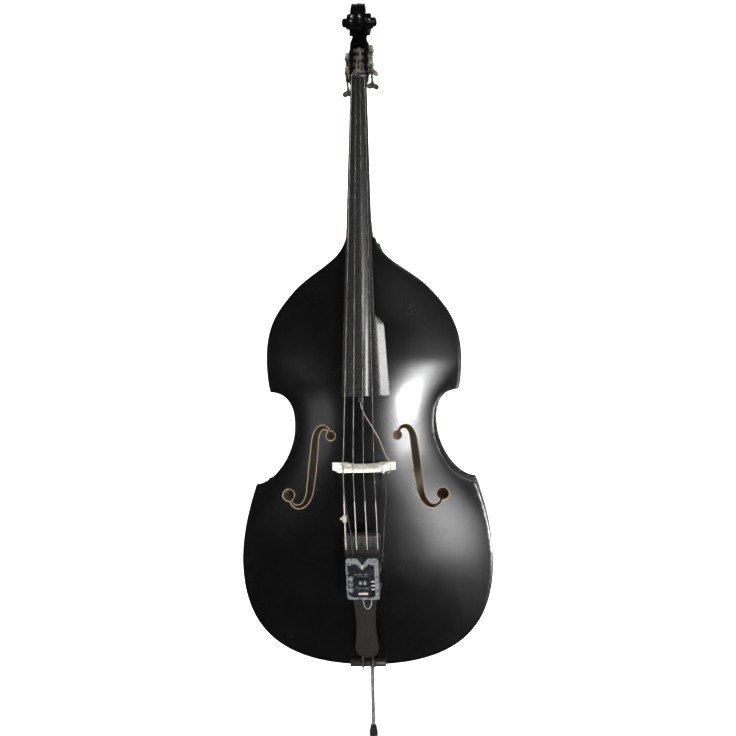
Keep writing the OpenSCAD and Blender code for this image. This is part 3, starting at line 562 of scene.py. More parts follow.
def make_plastic(name, colour, rough, **sockets):
    m = new_material(name, colour, rough, **sockets)
    v = place_of(m)
    darker = tuple(c * (1 - SPECK) for c in colour)
    lighter = tuple(min(1.0, c * (1 + SPECK) + 0.002) for c in colour)
    paint(m, noise(m, v, 45, 4), [(0.35, darker), (0.65, lighter)])
    vary_rough(m, noise(m, v, 80, 4), rough - 0.05, rough + 0.08)
    relief(m, noise(m, v, 1400, 2), 0.15, 0.0002)
    return m


LACQUER = make_lacquer()
SPRUCE = make_wood("bare_spruce", (0.34, 0.19, 0.085), (0.62, 0.42, 0.22), 0.62)
CUT_EDGE = make_wood("cut_edge", (0.24, 0.165, 0.10), (0.46, 0.35, 0.24), 0.55, grain=60)
INSIDE = make_wood("inside_wood", (0.17, 0.13, 0.095), (0.36, 0.28, 0.21), 0.7)
EBONY = make_wood("ebony", (0.006, 0.0055, 0.005), (0.020, 0.018, 0.017), 0.30, (14, 14, 0.5), 30, 0.10,
                  Coat_Weight=0.25, Coat_Roughness=0.2)
EBONY_GLOSS = make_wood("ebony_polished", (0.005, 0.005, 0.005), (0.013, 0.0125, 0.012), 0.24, (14, 14, 0.5),
                        30, 0.06, Coat_Weight=0.5, Coat_Roughness=0.1)
BRIDGE_WOOD = make_wood("bridge_maple", (0.48, 0.45, 0.39), (0.64, 0.615, 0.56), 0.42, (3, 30, 30), 8, 0.10)
HORN = make_wood("horn_bar", (0.008, 0.0075, 0.006), (0.026, 0.024, 0.020), 0.5, (3, 26, 26), 7, 0.08)
ROD_STEEL = make_metal("rod_steel", (0.12, 0.12, 0.12), (0.22, 0.22, 0.22), 0.24, 90, 0.14, Metallic=0.45)
STEEL = make_metal("plain_steel", (0.45, 0.45, 0.46), (0.66, 0.66, 0.67), 0.28, 140, 0.12)
BRASS = make_metal("aged_brass", (0.14, 0.10, 0.06), (0.50, 0.40, 0.25), 0.34, 120, 0.18)
NICKEL = make_metal("aged_nickel", (0.13, 0.115, 0.095), (0.42, 0.39, 0.33), 0.36, 130, 0.18, Metallic=0.55)
# darker copy of the aged nickel: painted shade on the rollers inside the pegbox and on three of the keys
SHADED_NICKEL = make_metal("nickel_painted_shade", (0.03, 0.027, 0.023), (0.19, 0.17, 0.14), 0.38, 150, 0.18,
                         Metallic=0.7)
PALE_METAL = make_metal("pale_metal", (0.26, 0.255, 0.245), (0.44, 0.43, 0.41), 0.36, 130, 0.12, Metallic=0.4)
RUBBER = make_plastic("rubber", (0.012, 0.012, 0.012), 0.72)
BLACK_PLASTIC = make_plastic("black_plastic", (0.010, 0.0105, 0.012), 0.36)
PANEL_BLACK = make_plastic("panel_black", (0.006, 0.007, 0.010), 0.24, Coat_Weight=0.4, Coat_Roughness=0.12)
SILVER = make_metal("worn_silver", (0.035, 0.040, 0.040), (0.20, 0.215, 0.215), 0.36, 160, 0.2, Metallic=0.35)
BOARD_GREEN = make_plastic("board_green", (0.012, 0.09, 0.035), 0.35)
WHITE_MARK = make_plastic("white_mark", (0.27, 0.265, 0.27), 0.4)
PINK_MARK = make_plastic("pink_mark", (0.29, 0.225, 0.225), 0.42)
WIRE_DARK = make_plastic("wire_dark", (0.035, 0.034, 0.034), 0.5)
WIRE_PALE = make_plastic("wire_pale", (0.24, 0.21, 0.21), 0.5)


def make_engraved():
    m = new_material("engraved_nickel", (0.55, 0.49, 0.38), 0.34, 1.0)
    v = place_of(m)
    paint(m, noise(m, v, 70, 7, 0.65, 0.6), [(0.30, (0.10, 0.085, 0.062)), (0.5, (0.28, 0.245, 0.19)),
                                             (0.68, (0.44, 0.40, 0.33))])
    vary_rough(m, noise(m, v, 160, 5, 0.6), 0.26, 0.5)
    curls = waves(m, v, 55, 9.0, 3, "X", "RINGS")
    relief(m, curls, 0.55, 0.0006)
    relief(m, noise(m, v, 700, 2), 0.12, 0.0002)
    return m


def make_wound(name, dark, light, rough, metal, pitch):
    """Ribbon or thread wound round a string: fine turns along its length."""
    m = new_material(name, light, rough, metal)
    v = place_of(m)
    turns = waves(m, v, pitch, 0.4, 1, "Z")
    paint(m, noise(m, v, 60, 5), [(0.35, dark), (0.65, light)])
    relief(m, turns, 0.35, 0.0003)
    return m


ENGRAVED = make_engraved()
STRING_STEEL = make_wound("string_steel", (0.36, 0.345, 0.335), (0.60, 0.585, 0.57), 0.36, 1.0, 300)
SILK = make_wound("silk", (0.20, 0.185, 0.18), (0.34, 0.315, 0.305), 0.75, 0.0, 240)
# darker copy of the silk, for the wraps and coils inside the pegbox: painted shade
SHADED_SILK = make_wound("silk_painted_shade", (0.07, 0.058, 0.050), (0.20, 0.165, 0.14), 0.7, 0.0, 240)

# ---------------------------------------------------------------- camera
scene = bpy.context.scene
cam_data = bpy.data.cameras.new("camera")
cam_data.sensor_width = 36
cam_data.lens = 59.46
cam_data.clip_end = 60
cam = new_object("camera", cam_data)
yaw, pitch, roll = math.radians(-4.99), math.radians(0.27), math.radians(-1.14)
look = Vector((math.sin(yaw) * math.cos(pitch), math.cos(yaw) * math.cos(pitch), math.sin(pitch)))
right = Vector((math.cos(yaw), -math.sin(yaw), 0))
up = right.cross(look)
right2 = right * math.cos(roll) + up * math.sin(roll)
up2 = up * math.cos(roll) - right * math.sin(roll)
turn = Matrix((right2, up2, -look)).transposed().to_4x4()
cam.matrix_world = Matrix.Translation((0.289, -3.262, 0.973)) @ turn
scene.camera = cam

# ---------------------------------------------------------------- pickup leads
LEFT_LEAD = [(-50, -166, 717.5), (-50, -167, 708), (-48, -178, 680), (-42, -196, 640), (-34, -215, 606),
             (-28, -235, 584), (-26, -243, 574), tail((-26, -15.2, -12)), tail((-25, -15.4, -32)),
             tail((-24, -17, -52.8))]
RIGHT_LEAD = [(56, -166, 717.5), (57, -167, 708), (60, -176, 680), (59, -190, 640), (56, -206, 600),
              (54, -216, 560), (52, -218, 530), tail((50, -17, -64)), tail((46, -17, -71)),
              tail((42.2, -17, -72.5))]
BOARD_LEAD = [(4, -230, 901.3), (5, -227, 892), (14, -221, 868), (32, -212, 836), (46, -202, 808),
              (56, -193, 780), (64, -184, 760), (71, -174, 745), (72, -166, 732), (70, -160, 723),
              (63, -157, 717)]
LOOP_LEAD = [tail(p) for p in [(18, -17, -167.2), (18.5, -17.5, -178), (16, -19, -190), (8, -20, -197),
                               (0, -19, -190), (-2, -17.5, -178), (-2, -17, -167.2)]]
LEAD_R = 1.1
LEADS = [("lead_left", LEFT_LEAD, 4, WIRE_DARK), ("lead_right", RIGHT_LEAD, 4, WIRE_DARK),
         ("lead_board", BOARD_LEAD, 4, WIRE_PALE), ("lead_loop", LOOP_LEAD, 6, WIRE_PALE)]
for lead_name, points, steps, lead_mat in LEADS:
    route = smooth_line(points, steps)
    lead = cord_curve(lead_name, route, LEAD_R, lead_mat)
    if lead_name == "lead_left":
        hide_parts("pickup_wires")
    tuple(c * MM for c in route[0])
    run_length(route)

# ---------------------------------------------------------------- arched plates
F_UPPER = [arr(90, 88), arr(98, 109), arr(124, 109), arr(129, 66)]
F_STEM = [arr(129, 66), arr(133, 31), arr(138, -19), arr(144, -60)]
F_LOWER = [arr(144, -60), arr(149, -104), arr(182, -122), arr(198, -89)]
F_EYES = [(arr(87, 79), 12.0), (arr(202, -75), 15.5)]
F_STEPS, F_EYE_SIDES = 14, 36
F_TIP, F_SWELL = 2.2, 7.6


def inset_loop(points, d):
    """A closed line moved inwards by d, with its corners kept from running away."""
    out = []
    k = len(points)
    for i in range(k):
        e0, e1 = points[i] - points[i - 1], points[(i + 1) % k] - points[i]
        e0, e1 = e0 / np.linalg.norm(e0), e1 / np.linalg.norm(e1)
        n0, n1 = arr(-e0[1], e0[0]), arr(-e1[1], e1[0])
        n = (n0 + n1) / max(1e-6, np.linalg.norm(n0 + n1))
        out.append(points[i] + n * d / max(0.6, float(np.dot(n, n0))))
    return out


def inside(points, loop):
    """Which of the points lie inside a closed line."""
    x, y = points[:, 0], points[:, 1]
    res = np.zeros(len(points), bool)
    for a, b in zip(loop, loop[1:] + loop[:1]):
        if a[1] != b[1]:
            hit = (a[1] > y) != (b[1] > y)
            res ^= hit & (x < (b[0] - a[0]) * (y - a[1]) / (b[1] - a[1]) + a[0])
    return res


def triangulate(points, loops):
    """Triangles over the points, with the loops kept as edges. The loops' own points come first."""
    edges, k = [], 0
    for loop in loops:
        edges += [(k + i, k + (i + 1) % len(loop)) for i in range(len(loop))]
        k += len(loop)
    coords = [Vector((float(p[0]), float(p[1]))) for p in points]
    v, _, f, _, _, _ = delaunay_2d_cdt(coords, edges, [], 0, 1e-5, True)
    return np.array([(q.x, q.y) for q in v]), [tuple(t) for t in f]


def border(faces):
    """Next point after each one along the open edge of some faces."""
    edges = {(a, b): True for f in faces for a, b in zip(f, f[1:] + f[:1])}
    return {a: b for a, b in edges if (b, a) not in edges}


def f_loop(side):
    """One closed line round the stem and both eyes of an f-hole."""
    stem = [[], []]
    for span, p in enumerate([F_UPPER, F_STEM, F_LOWER]):
        for i in range(F_STEPS + (span == 2)):
            t = i / F_STEPS
            q, w = station(p, t)
            half = F_TIP + F_SWELL * max(0.0, math.sin(math.pi * (span + t) / 3)) ** 1.2
            stem[0].append(q + half * w)
            stem[1].append(q - half * w)
    shapes = [stem[0] + stem[1][::-1]]
    # the eyes are turned a little, to keep their points off the stem's
    for c, r in F_EYES:
        shapes.append([c + r * arr(math.cos(a), math.sin(a)) for a in around(F_EYE_SIDES, 0.37)])
    shapes = [[arr(side * p[0], p[1] + BRIDGE_Z) for p in s] for s in shapes]
    v, f = triangulate([p for s in shapes for p in s], shapes)
    mid = v[np.array(f)].mean(axis=1)
    keep = np.zeros(len(f), bool)
    for s in shapes:
        keep |= inside(mid, s)
    nxt = border([t for t, k in zip(f, keep) if k])
    start = max(nxt, key=lambda i: v[i][1])
    loop, i = [start], nxt[start]
    while i != start:
        loop.append(i)
        i = nxt[i]
    return [v[i] for i in loop]


# Rounded edge of a plate, as how far it is set in and at what height, from the outer face to the inner
RIM = [(2.4, PLATE_T), (1.25, PLATE_T - 0.3), (0.4, PLATE_T - 1.1), (0.0, PLATE_T - 2.3), (0.0, 1.6),
       (0.5, 0.55), (1.3, 0.1), (2.4, 0.0)]
HOLE_CHAMFER = 1.3
GRID_STEP, ROW_SHARE, GRID_REACH, GRID_CLEAR = 7.5, 0.866, 345, 4.2
LACQUER_LAP = 8.0
GLOSSY, BARE, SAWN = 0, 1, 2


def plate_grid(edge, holes):
    """Staggered points over a plate that keep clear of its edge and its holes."""
    grid = []
    for row in range(int((Z1 - Z0) / (GRID_STEP * ROW_SHARE)) + 1):
        left = -GRID_REACH + (row % 2) * GRID_STEP / 2
        count = int(2 * GRID_REACH / GRID_STEP) + 1
        grid += [arr(left + c * GRID_STEP, Z0 + row * GRID_STEP * ROW_SHARE) for c in range(count)]
    grid = np.array(grid)
    grid = grid[inside(grid, edge)]
    lines = np.array([p for loop in [edge] + holes for p in loop])
    gaps = [np.min((lines[:, 0] - g[0]) ** 2 + (lines[:, 1] - g[1]) ** 2) for g in grid]
    grid = grid[np.array(gaps) > GRID_CLEAR ** 2]
    for hole in holes:
        grid = grid[~inside(grid, hole)]
    return list(grid)


def plate(name, stands_for, face, cuts):
    """Arched table (face -1) or back (face 1), with its f-holes and its rounded edge."""
    edge = inset_loop(OUTLINE, RIM[0][0])
    holes = [inset_loop(cut, -HOLE_CHAMFER) for cut in cuts]
    loops = [edge] + holes
    pts, tris = triangulate([p for loop in loops for p in loop] + plate_grid(edge, holes), loops)
    mid = pts[np.array(tris)].mean(axis=1)
    keep = inside(mid, edge)
    for h in holes:
        keep &= ~inside(mid, h)
    tris = [t for t, k in zip(tris, keep) if k]
    mid = mid[keep]
    n = len(pts)

    def depth(x, z, h):
        return RIB_FRONT - h - arch(x, z) if face < 0 else back_y(z) + h + arch(x, z)

    def layer(points, h):
        return [(p[0], depth(p[0], p[1], h), p[1]) for p in points]

    def nearest(loop):
        return [int(np.argmin((pts[:, 0] - p[0]) ** 2 + (pts[:, 1] - p[1]) ** 2)) for p in loop]

    verts = layer(pts, PLATE_T) + layer(pts, 0)
    faces = list(tris) + [(c + n, b + n, a + n) for a, b, c in tris]
    deep = inside(mid, inset_loop(OUTLINE, LACQUER_LAP))
    index = [GLOSSY] * len(tris) + [BARE if d else GLOSSY for d in deep]
    for cut, hole in zip(cuts, holes):
        k, m = len(verts), len(hole)
        verts += layer(cut, PLATE_T - HOLE_CHAMFER) + layer(cut, HOLE_CHAMFER)
        top = nearest(hole)
        walls = [top, list(range(k, k + m)), list(range(k + m, k + 2 * m)), [i + n for i in top]]
        for r0, r1 in zip(walls, walls[1:]):
            faces += [(r0[i], r1[i], r1[(i + 1) % m], r0[(i + 1) % m]) for i in range(m)]
        index += [SAWN] * (3 * m)
    ids = nearest(edge)
    rows = [ids]
    for d, h in RIM[1:-1]:
        loop = inset_loop(OUTLINE, d)
        rows.append(list(range(len(verts), len(verts) + len(loop))))
        verts += layer(loop, h)
    rows.append([i + n for i in ids])
    for r0, r1 in zip(rows, rows[1:]):
        for i in range(len(ids)):
            j = (i + 1) % len(ids)
            faces.append((r0[i], r0[j], r1[j], r1[i]))
            index.append(GLOSSY)
    make(name, (verts, faces), [LACQUER, INSIDE, CUT_EDGE], "bass", stands_for, 32, index)


plate("table", "top_plate", -1, [f_loop(1), f_loop(-1)])
plate("back", "back_plate", 1, [])


# ---------------------------------------------------------------- ribs
def crossing(a, b, d):
    """Parameters at which two neighbouring spans cross once both are set in by d."""
    ta, tb = np.linspace(0.8, 1, 201), np.linspace(0, 0.2, 201)
    pa = np.array([q - d * w for q, w in (station(a, t) for t in ta)])
    pb = np.array([q - d * w for q, w in (station(b, t) for t in tb)])
    gap = np.linalg.norm(pa[:, None] - pb[None], axis=2)
    i, j = np.unravel_index(np.argmin(gap), gap.shape)
    return float(ta[i]), float(tb[j])


GLUE_LINE = 0.1
LOW_END, WAIST_START = crossing(SPANS["lower_b"], SPANS["waist_a"], PLATE_EDGE)
WAIST_END, UPPER_START = crossing(SPANS["waist_b"], SPANS["upper_a"], PLATE_EDGE)


def rib(name, stands_for, spans, side):
    """Bent rib along spans of the outline, each given as its name, its two ends and its steps."""
    rings = []
    for part, (span, t0, t1, n) in enumerate(spans):
        # a later span starts where the one before it ended
        for i in range(1 if part else 0, n + 1):
            q, w = station(SPANS[span], mix(t0, t1, i / n))
            p, s = q - PLATE_EDGE * w, q - (PLATE_EDGE + RIB_T) * w
            rings.append([(side * p[0], RIB_FRONT, p[1]), (side * p[0], back_y(p[1]) - GLUE_LINE, p[1]),
                          (side * s[0], back_y(s[1]) - GLUE_LINE, s[1]), (side * s[0], RIB_FRONT, s[1])])
    shape = loft(rings)
    # each ring has four walls, and the third is the bare inner one; the two end caps come last
    index = [BARE if k % 4 == 2 and k < 4 * (len(rings) - 1) else GLOSSY for k in range(len(shape[1]))]
    make(name, shape, [LACQUER, INSIDE], "bass", stands_for, 40, index)


SIDES = ((-1, "left"), (1, "right"))
for side, word in SIDES:
    rib("rib_low_" + word, "rib_lower_" + word, [("lower_a", 0.0, 1, 60), ("lower_b", 0, LOW_END, 30)], side)
    rib("rib_mid_" + word, "rib_waist_" + word,
        [("waist_a", WAIST_START, 1, 40), ("waist_b", 0, WAIST_END, 30)], side)
    rib("rib_top_" + word, "rib_upper_" + word,
        [("upper_a", UPPER_START, 1, 16), ("upper_b", 0, 1, 36), ("shoulder", 0, 1, 32)], side)

# ---------------------------------------------------------------- inside the body
TOP_SKIN = 2
for inner in ("linings", "neck_block", "end_block", "corner_blocks", "bass_bar", "sound_post"):
    wood = refine(inner, SPRUCE, 0.8)
    if inner == "neck_block":
        # its end grain, lacquered where it shows beside the heel
        wood.data.materials.append(LACQUER)
        for face in wood.data.polygons:
            face.material_index = 1 if face.center.z > (Z1 - TOP_SKIN) * MM else 0

# ---------------------------------------------------------------- neck
HEEL_DEPTH = back_y(Z1) + PLATE_T - under_y(Z1)
HEEL_TALL, HEEL_RINGS, SHAFT_RINGS, NECK_SIDES = 105, 30, 16, 33


def neck_depth(z):
    return mix(26, 33, (NUT_Z - z) / 300) + (HEEL_DEPTH - 34) * max(0.0, 1 - (z - Z1) / 100) ** 2.6


neck_rings = []
neck_z = [Z1 + HEEL_TALL * (i / HEEL_RINGS) ** 1.5 for i in range(HEEL_RINGS + 1)]
neck_z += [Z1 + HEEL_TALL + (NUT_Z - Z1 - HEEL_TALL) * i / SHAFT_RINGS for i in range(1, SHAFT_RINGS + 1)]
for z in neck_z:
    h, y, d = board_half(z) - 0.2, under_y(z), neck_depth(z)
    ring = [(-h, y, z), (h, y, z)]
    for k in range(NECK_SIDES):
        a = math.pi * (k + 0.5) / NECK_SIDES
        c = math.cos(a)
        ring.append((h * math.copysign(abs(c) ** 0.75, c), y + 2 + (d - 2) * math.sin(a) ** 0.7, z))
    neck_rings.append(ring)
make("neck_shaft", loft(neck_rings), LACQUER, "bass", "neck", 50)

# Height along the pegbox, then its front, its back and half its width
PEGBOX = [(-3, 0.6, 26, 22), (4, 0.5, 32, 22.8), (10, 0.4, 35.3, 24), (15, -5, 37, 24.5),
          (27, -5.6, 39.4, 24.5), (45, -6.5, 39.8, 24.5), (62, -7, 39, 24.5), (80, -6.4, 36.4, 24.5),
          (98, -5.2, 33.4, 24.5), (108, -3, 31.8, 24.2), (116, 0, 30.8, 22.6), (124, 2.3, 31, 20.4),
          (132, 3.4, 34, 19), (140, 4.6, 38, 18.4), (146, 9, 42, 18), (151, 15, 45, 17)]
PEGBOX_STEPS = 77
PEG_SLOT = (-15, -20, 10), (15, 30, 102)
CORNERS = ((1, 1, 0), (-1, 1, 90), (-1, -1, 180), (1, -1, 270))


def pegbox_ring(u, front, back, half, corner=4.0):
    ring = []
    for sx, sv, turn_from in CORNERS:
        cx, cv = sx * (half - corner), (back - corner) if sv > 0 else (front + corner)
        for k in range(6):
            a = math.radians(turn_from + 18 * k)
            ring.append(head((cx + corner * math.cos(a), cv + corner * math.sin(a), u)))
    return ring


def cut_box(me, lo, hi, place):
    """Takes a box-shaped slot out of a mesh."""
    box = bpy.data.meshes.new("slot")
    corners = [(x, y, z) for x in (lo[0], hi[0]) for y in (lo[1], hi[1]) for z in (lo[2], hi[2])]
    box.from_pydata([tuple(place(c) * MM) for c in corners], [],
                    [(0, 1, 3, 2), (4, 6, 7, 5), (0, 4, 5, 1), (2, 3, 7, 6), (0, 2, 6, 4), (1, 5, 7, 3)])
    wall, tool = new_object("wall", me), new_object("tool", box)
    mod = wall.modifiers.new("cut", "BOOLEAN")
    mod.object = tool
    mod.operation = "DIFFERENCE"
    mod.solver = "EXACT"
    out = evaluated_mesh(wall)
    bpy.data.objects.remove(tool)
    return out


peg_rings = []
for i in range(PEGBOX_STEPS + 1):
    u = PEGBOX[0][0] + (PEGBOX[-1][0] - PEGBOX[0][0]) * i / PEGBOX_STEPS
    peg_rings.append(pegbox_ring(u, *hermite(PEGBOX, u)))
verts, faces = loft(peg_rings)
peg = bpy.data.meshes.new("pegbox")
peg.from_pydata([tuple(np.array(v) * MM) for v in verts], [], faces)
clean(peg)
peg = cut_box(peg, *PEG_SLOT, head)
cover(peg, LACQUER)
finish_piece("pegbox", peg, "bass", (), 40)

SCROLL_AT = (6.0, 172.0)
SCROLL_TURNS, SCROLL_STEPS, SCROLL_END = 2.62, 130, 2.65
# The scroll's radius and its half width, against turns from the throat to the eye
SCROLL_R = [(0, 57), (0.167, 58.6), (0.417, 57), (0.667, 49), (0.917, 38.5), (1.167, 31.5), (1.417, 26.8),
            (1.667, 22.8), (1.917, 19.4), (2.167, 16.6), (2.417, 14.2), (2.65, 12.2)]
SCROLL_H = [(0, 18), (0.25, 16.2), (0.42, 16.6), (0.67, 21), (0.92, 27), (1.17, 30), (1.42, 32), (1.67, 33.5),
            (1.92, 35.5), (2.17, 39), (2.42, 43), (2.65, 45.5)]


def scroll_ring(turns):
    """Fluted cross-section of the scroll, down to the turn inside it."""
    a = math.radians(-60 + 360 * turns)
    ro = float(hermite(SCROLL_R, turns)[0])
    ri = max(1.0, float(hermite(SCROLL_R, turns + 1)[0]) - 0.8) if turns + 1 <= SCROLL_END else 1.0
    h = float(hermite(SCROLL_H, turns)[0])
    ri = min(ri, ro - 4)
    dip = 2.2 * ease(1.35 - turns)
    side_cut = min(3.0, (ro - ri) * 0.28)
    profile = [(ri, -h + 1.0), (mix(ri, ro, 0.45), -h + 0.2 + 0.9 * ease(2.2 - turns)), (ro - side_cut, -h),
               (ro - 0.9, -h + 0.5), (ro, -h + 1.8), (ro - dip * 0.7, -h * 0.72), (ro - dip, -h * 0.45),
               (ro - dip * 0.5, -h * 0.18), (ro, 0)]
    profile += [(r, -x) for r, x in reversed(profile[:-1])]
    return [head((x, SCROLL_AT[0] + r * math.cos(a), SCROLL_AT[1] + r * math.sin(a))) for r, x in profile]


scroll_rings = [scroll_ring(SCROLL_TURNS * i / SCROLL_STEPS) for i in range(SCROLL_STEPS + 1)]
make("scroll", loft(scroll_rings), LACQUER, "bass", (), 42, like="neck")


def scroll_axis(p):
    return head((p[2], SCROLL_AT[0] + p[0], SCROLL_AT[1] + p[1]))


eye = [(12.6, 42), (12.2, 44.2), (10, 46.2), (6, 47.2), (0.01, 47.4)]
eye = [(r, -x) for r, x in reversed(eye)] + eye
make("scroll_eye", lathe(eye, 48, scroll_axis), LACQUER, "bass", (), 40, like="neck")

# ---------------------------------------------------------------- fingerboard, nut
BOARD_TOP = NUT_Z - 0.2
END_ROUND, BOARD_HALF_STEPS = 0.9, 14
board_rings = []
# rings stand closer at the rounded end and where the wing begins
board_z = sorted(set([BOARD_END + 1.5 * k for k in range(3)] + [BOARD_END + 12 * i for i in range(15)]
                     + [1090 + 3 * i for i in range(15)] + [1135 + 25 * i for i in range(25)] + [BOARD_TOP]))
for z in [z for z in board_z if z <= BOARD_TOP]:
    h, w, c = board_half(z), wing(z), crown_y(z)
    end = END_ROUND if z == board_z[0] else 0.0
    tip = c + arc_drop(h, BOARD_R)
    n = BOARD_HALF_STEPS
    ring = [(h * (k / n), c + arc_drop(h * k / n, BOARD_R) + end, z) for k in range(-n, n + 1)]
    ring += [(h + w * 0.5 + 0.01, tip + w * 0.11 + end, z), (h + w - 0.8 + 0.02, tip + w * 0.25 + end, z),
             (h + w + 0.03, tip + w * 0.25 + 1.2 + end, z), (h + w + 0.03, tip + w * 0.25 + 6, z),
             (h + w - 0.8 + 0.02, tip + w * 0.25 + 7, z), (h, under_y(z) - 0.1, z), (-h, under_y(z) - 0.1, z)]
    board_rings.append(ring)
make("board", loft(board_rings), EBONY_GLOSS, "bass", "fingerboard", 30)
refine("nut", EBONY, 0.25)

# ---------------------------------------------------------------- bridge
BRIDGE_FOOT = BRIDGE_TOP + RIB_FRONT - PLATE_T - arch(42, BRIDGE_Z) - 0.2
# Half of the bridge, as distance from the middle and height above the table
BRIDGE_ARCH = [(0, 36), (18, 34), (31, 26), (39, 14), (42, 0.6)]
BRIDGE_SOLE = [(42, 0), (62, -1.4), (82, -3.4)]
BRIDGE_FLANK = [(82, 5), (73, 9), (62, 16), (57, 28), (57, 42), (68, 50), (69, 58), (58, 63), (50, 74),
                (46, 92), (48, 112), (54, 132), (55, 143)]
KIDNEY = [(30, 62), (40, 58), (47, 62), (40, 70), (33, 84), (27, 80)]
HEART = [(0, 78), (14, 94), (17, 106), (9, 112), (0, 104)]
BRIDGE_SLAB = 11
FOOT_HALF, TOP_EXTRA, BRIDGE_TALL = 3.5, 8.3, 201
MESH_WELD = 1e-6


def flat_with_holes(loops, half_depth, rim):
    """Flat plate with rounded edges: the first loop is its outline, and the rest are holes."""
    cu = bpy.data.curves.new("flat", "CURVE")
    cu.dimensions = "2D"
    cu.fill_mode = "BOTH"
    cu.extrude = (half_depth - rim) * MM
    cu.bevel_depth = rim * MM
    cu.bevel_resolution = 3
    cu.offset = -rim * MM
    for loop in loops:
        sp = cu.splines.new("POLY")
        sp.points.add(len(loop) - 1)
        for q, p in zip(sp.points, loop):
            q.co = (p[0] * MM, p[1] * MM, 0, 1)
        sp.use_cyclic_u = True
    return evaluated_mesh(new_object("flat", cu))


def cut_piece(name, loops, half_depth, rim, place, mat, stands_for):
    """A piece sawn from a flat plate and set in its place on the bass."""
    me = flat_with_holes(loops, half_depth, rim)
    for v in me.vertices:
        v.co = Vector(place((v.co.x / MM, v.co.y / MM, v.co.z / MM))) * MM
    clean(me, MESH_WELD)
    cover(me, mat)
    finish_piece(name, me, "bass", stands_for, 40)


crown = [arr(x, BRIDGE_FOOT - arc_drop(x, BRIDGE_R)) for x in range(54, -1, -6)]
half_outline = (smooth_line(BRIDGE_ARCH, 4)[:-1] + [arr(*p) for p in BRIDGE_SOLE]
                + smooth_line(BRIDGE_FLANK, 4) + crown)
outline = half_outline + [arr(-p[0], p[1]) for p in reversed(half_outline) if p[0] > 0.01]
heart = HEART + [(-x, y) for x, y in reversed(HEART[1:4])]
holes = [smooth_loop(KIDNEY, 5), smooth_loop([(-x, y) for x, y in KIDNEY], 5), smooth_loop(heart, 5)]


def bridge_place(p):
    """Stands the flat bridge on the table, thinned from its feet to its top."""
    y = BRIDGE_FOOT - BRIDGE_TOP - p[1]
    thick = FOOT_HALF + TOP_EXTRA * (y + BRIDGE_TOP + 4) / BRIDGE_TALL
    return p[0], y, BRIDGE_Z + p[2] / BRIDGE_SLAB * thick


cut_piece("bridge_carved", [outline] + holes, BRIDGE_SLAB, 1.2, bridge_place, BRIDGE_WOOD, "bridge")

# ---------------------------------------------------------------- strings, silk and windings
STRING_SIDES, COIL_SIDES = 14, 10
COIL_TURNS, COIL_STEPS, COIL_PITCH, COIL_CLEAR = 4.5, 26, 2.1, 0.02
SILK_LOW = (0.1, 0.25, 0.4, 0.525, 0.54)
SILK_TOP = (0.12, 0.16, 0.5, 0.93)
for i, name in enumerate(STRING_NAMES):
    own = "string_" + name
    route, angle = string_route(i)
    r = STRING_R[i]
    path = [np.array(p) for p in route]
    make(own + "_steel", tube(path, r, STRING_SIDES), STRING_STEEL, "bass", own, 60)
    low = path[:3] + [path[2] + (path[3] - path[2]) * t for t in SILK_LOW]
    make("silk_low_" + name, tube(low, lambda t, r=r: r + 0.35 - 0.3 * ease((t - 0.9) * 10), STRING_SIDES),
         SILK, "bass", (), 60, like=own)
    # the top wrap and the coil lie inside the pegbox and take the darker silk copy: painted shade
    top = [path[4] + (path[5] - path[4]) * t for t in SILK_TOP]
    make("silk_top_" + name, tube(top, lambda t, r=r: r + 0.05 + 0.25 * ease(t * 8), STRING_SIDES),
         SHADED_SILK, "bass", (), 60, like=own)
    # the coil carries on from where the string meets the roller, the way the string is going
    centre = arr(ROLLER_V, ROLLER_U[i])
    rad = arr(math.cos(angle), math.sin(angle))
    going = centre + (ROLLER_R + r + GAP) * rad - in_head(path[4])
    sense = 1 if rad[0] * going[1] - rad[1] * going[0] > 0 else -1
    way = 1 if ROLLER_X[i] < 0 else -1
    reach = ROLLER_R + r + COIL_CLEAR
    coil = []
    for k in range(int(COIL_TURNS * COIL_STEPS) + 1):
        t = k / COIL_STEPS
        a = angle + sense * 2 * math.pi * t
        coil.append(head((ROLLER_X[i] + way * COIL_PITCH * r * t,
                          centre[0] + reach * math.cos(a), centre[1] + reach * math.sin(a))))
    make("coil_" + name, tube(coil, r, COIL_SIDES), SHADED_SILK, "roller_" + name, (), 60, like=own)

# ---------------------------------------------------------------- tailpiece and what carries it
# Place along the tailpiece, and half its width there
TAIL_W = [(-342, 1.5), (-340.5, 14), (-338, 20), (-332, 26.5), (-318, 30.6), (-300, 28.8), (-285, 26.8),
          (-258, 25.2), (-232, 25.6), (-200, 28), (-175, 31), (-145, 35.2), (-115, 39), (-90, 41.8),
          (-65, 44), (-40, 45.7), (-22, 46.3), (-9, 46.0), (-4, 44.8), (-1, 42), (0.6, 36), (1.4, 18)]
TAIL_STEP = 5
tail_rings = []
for (s0, _), (s1, _) in zip(TAIL_W, TAIL_W[1:]):
    n = max(1, int((s1 - s0) / TAIL_STEP))
    for k in range(n):
        s = mix(s0, s1, k / n)
        tail_rings.append((s, float(hermite(TAIL_W, s)[0])))
tail_rings.append(TAIL_W[-1])


def tail_ring(s, w):
    """Cross-section of the tailpiece, with a hollowed front and a flat back."""
    crown = 4.2 * min(1.0, w / 30) * ease((-s - 20) / 60)
    edge_r = min(2.2, w * 0.4)
    front = [(x * (w - edge_r), -7 + crown * x * x) for x in [k / 8 for k in range(-8, 9)]]
    ring = [(-w, front[0][1] + edge_r)] + front + [(w, front[-1][1] + edge_r)]
    ring += [(w, 5), (w - 1.5, 7), (-w + 1.5, 7), (-w, 5)]
    return [tail((x, n, s)) for x, n in ring]


make("tailpiece_carved", loft([tail_ring(s, w) for s, w in tail_rings]), EBONY, "bass", "tailpiece", 40)
refine("tail_bar", HORN, 1.6)
refine("saddle", EBONY, 1.0)
GUT_X, GUT_R, LOOP_R = 13.0, 2.2, 24.4
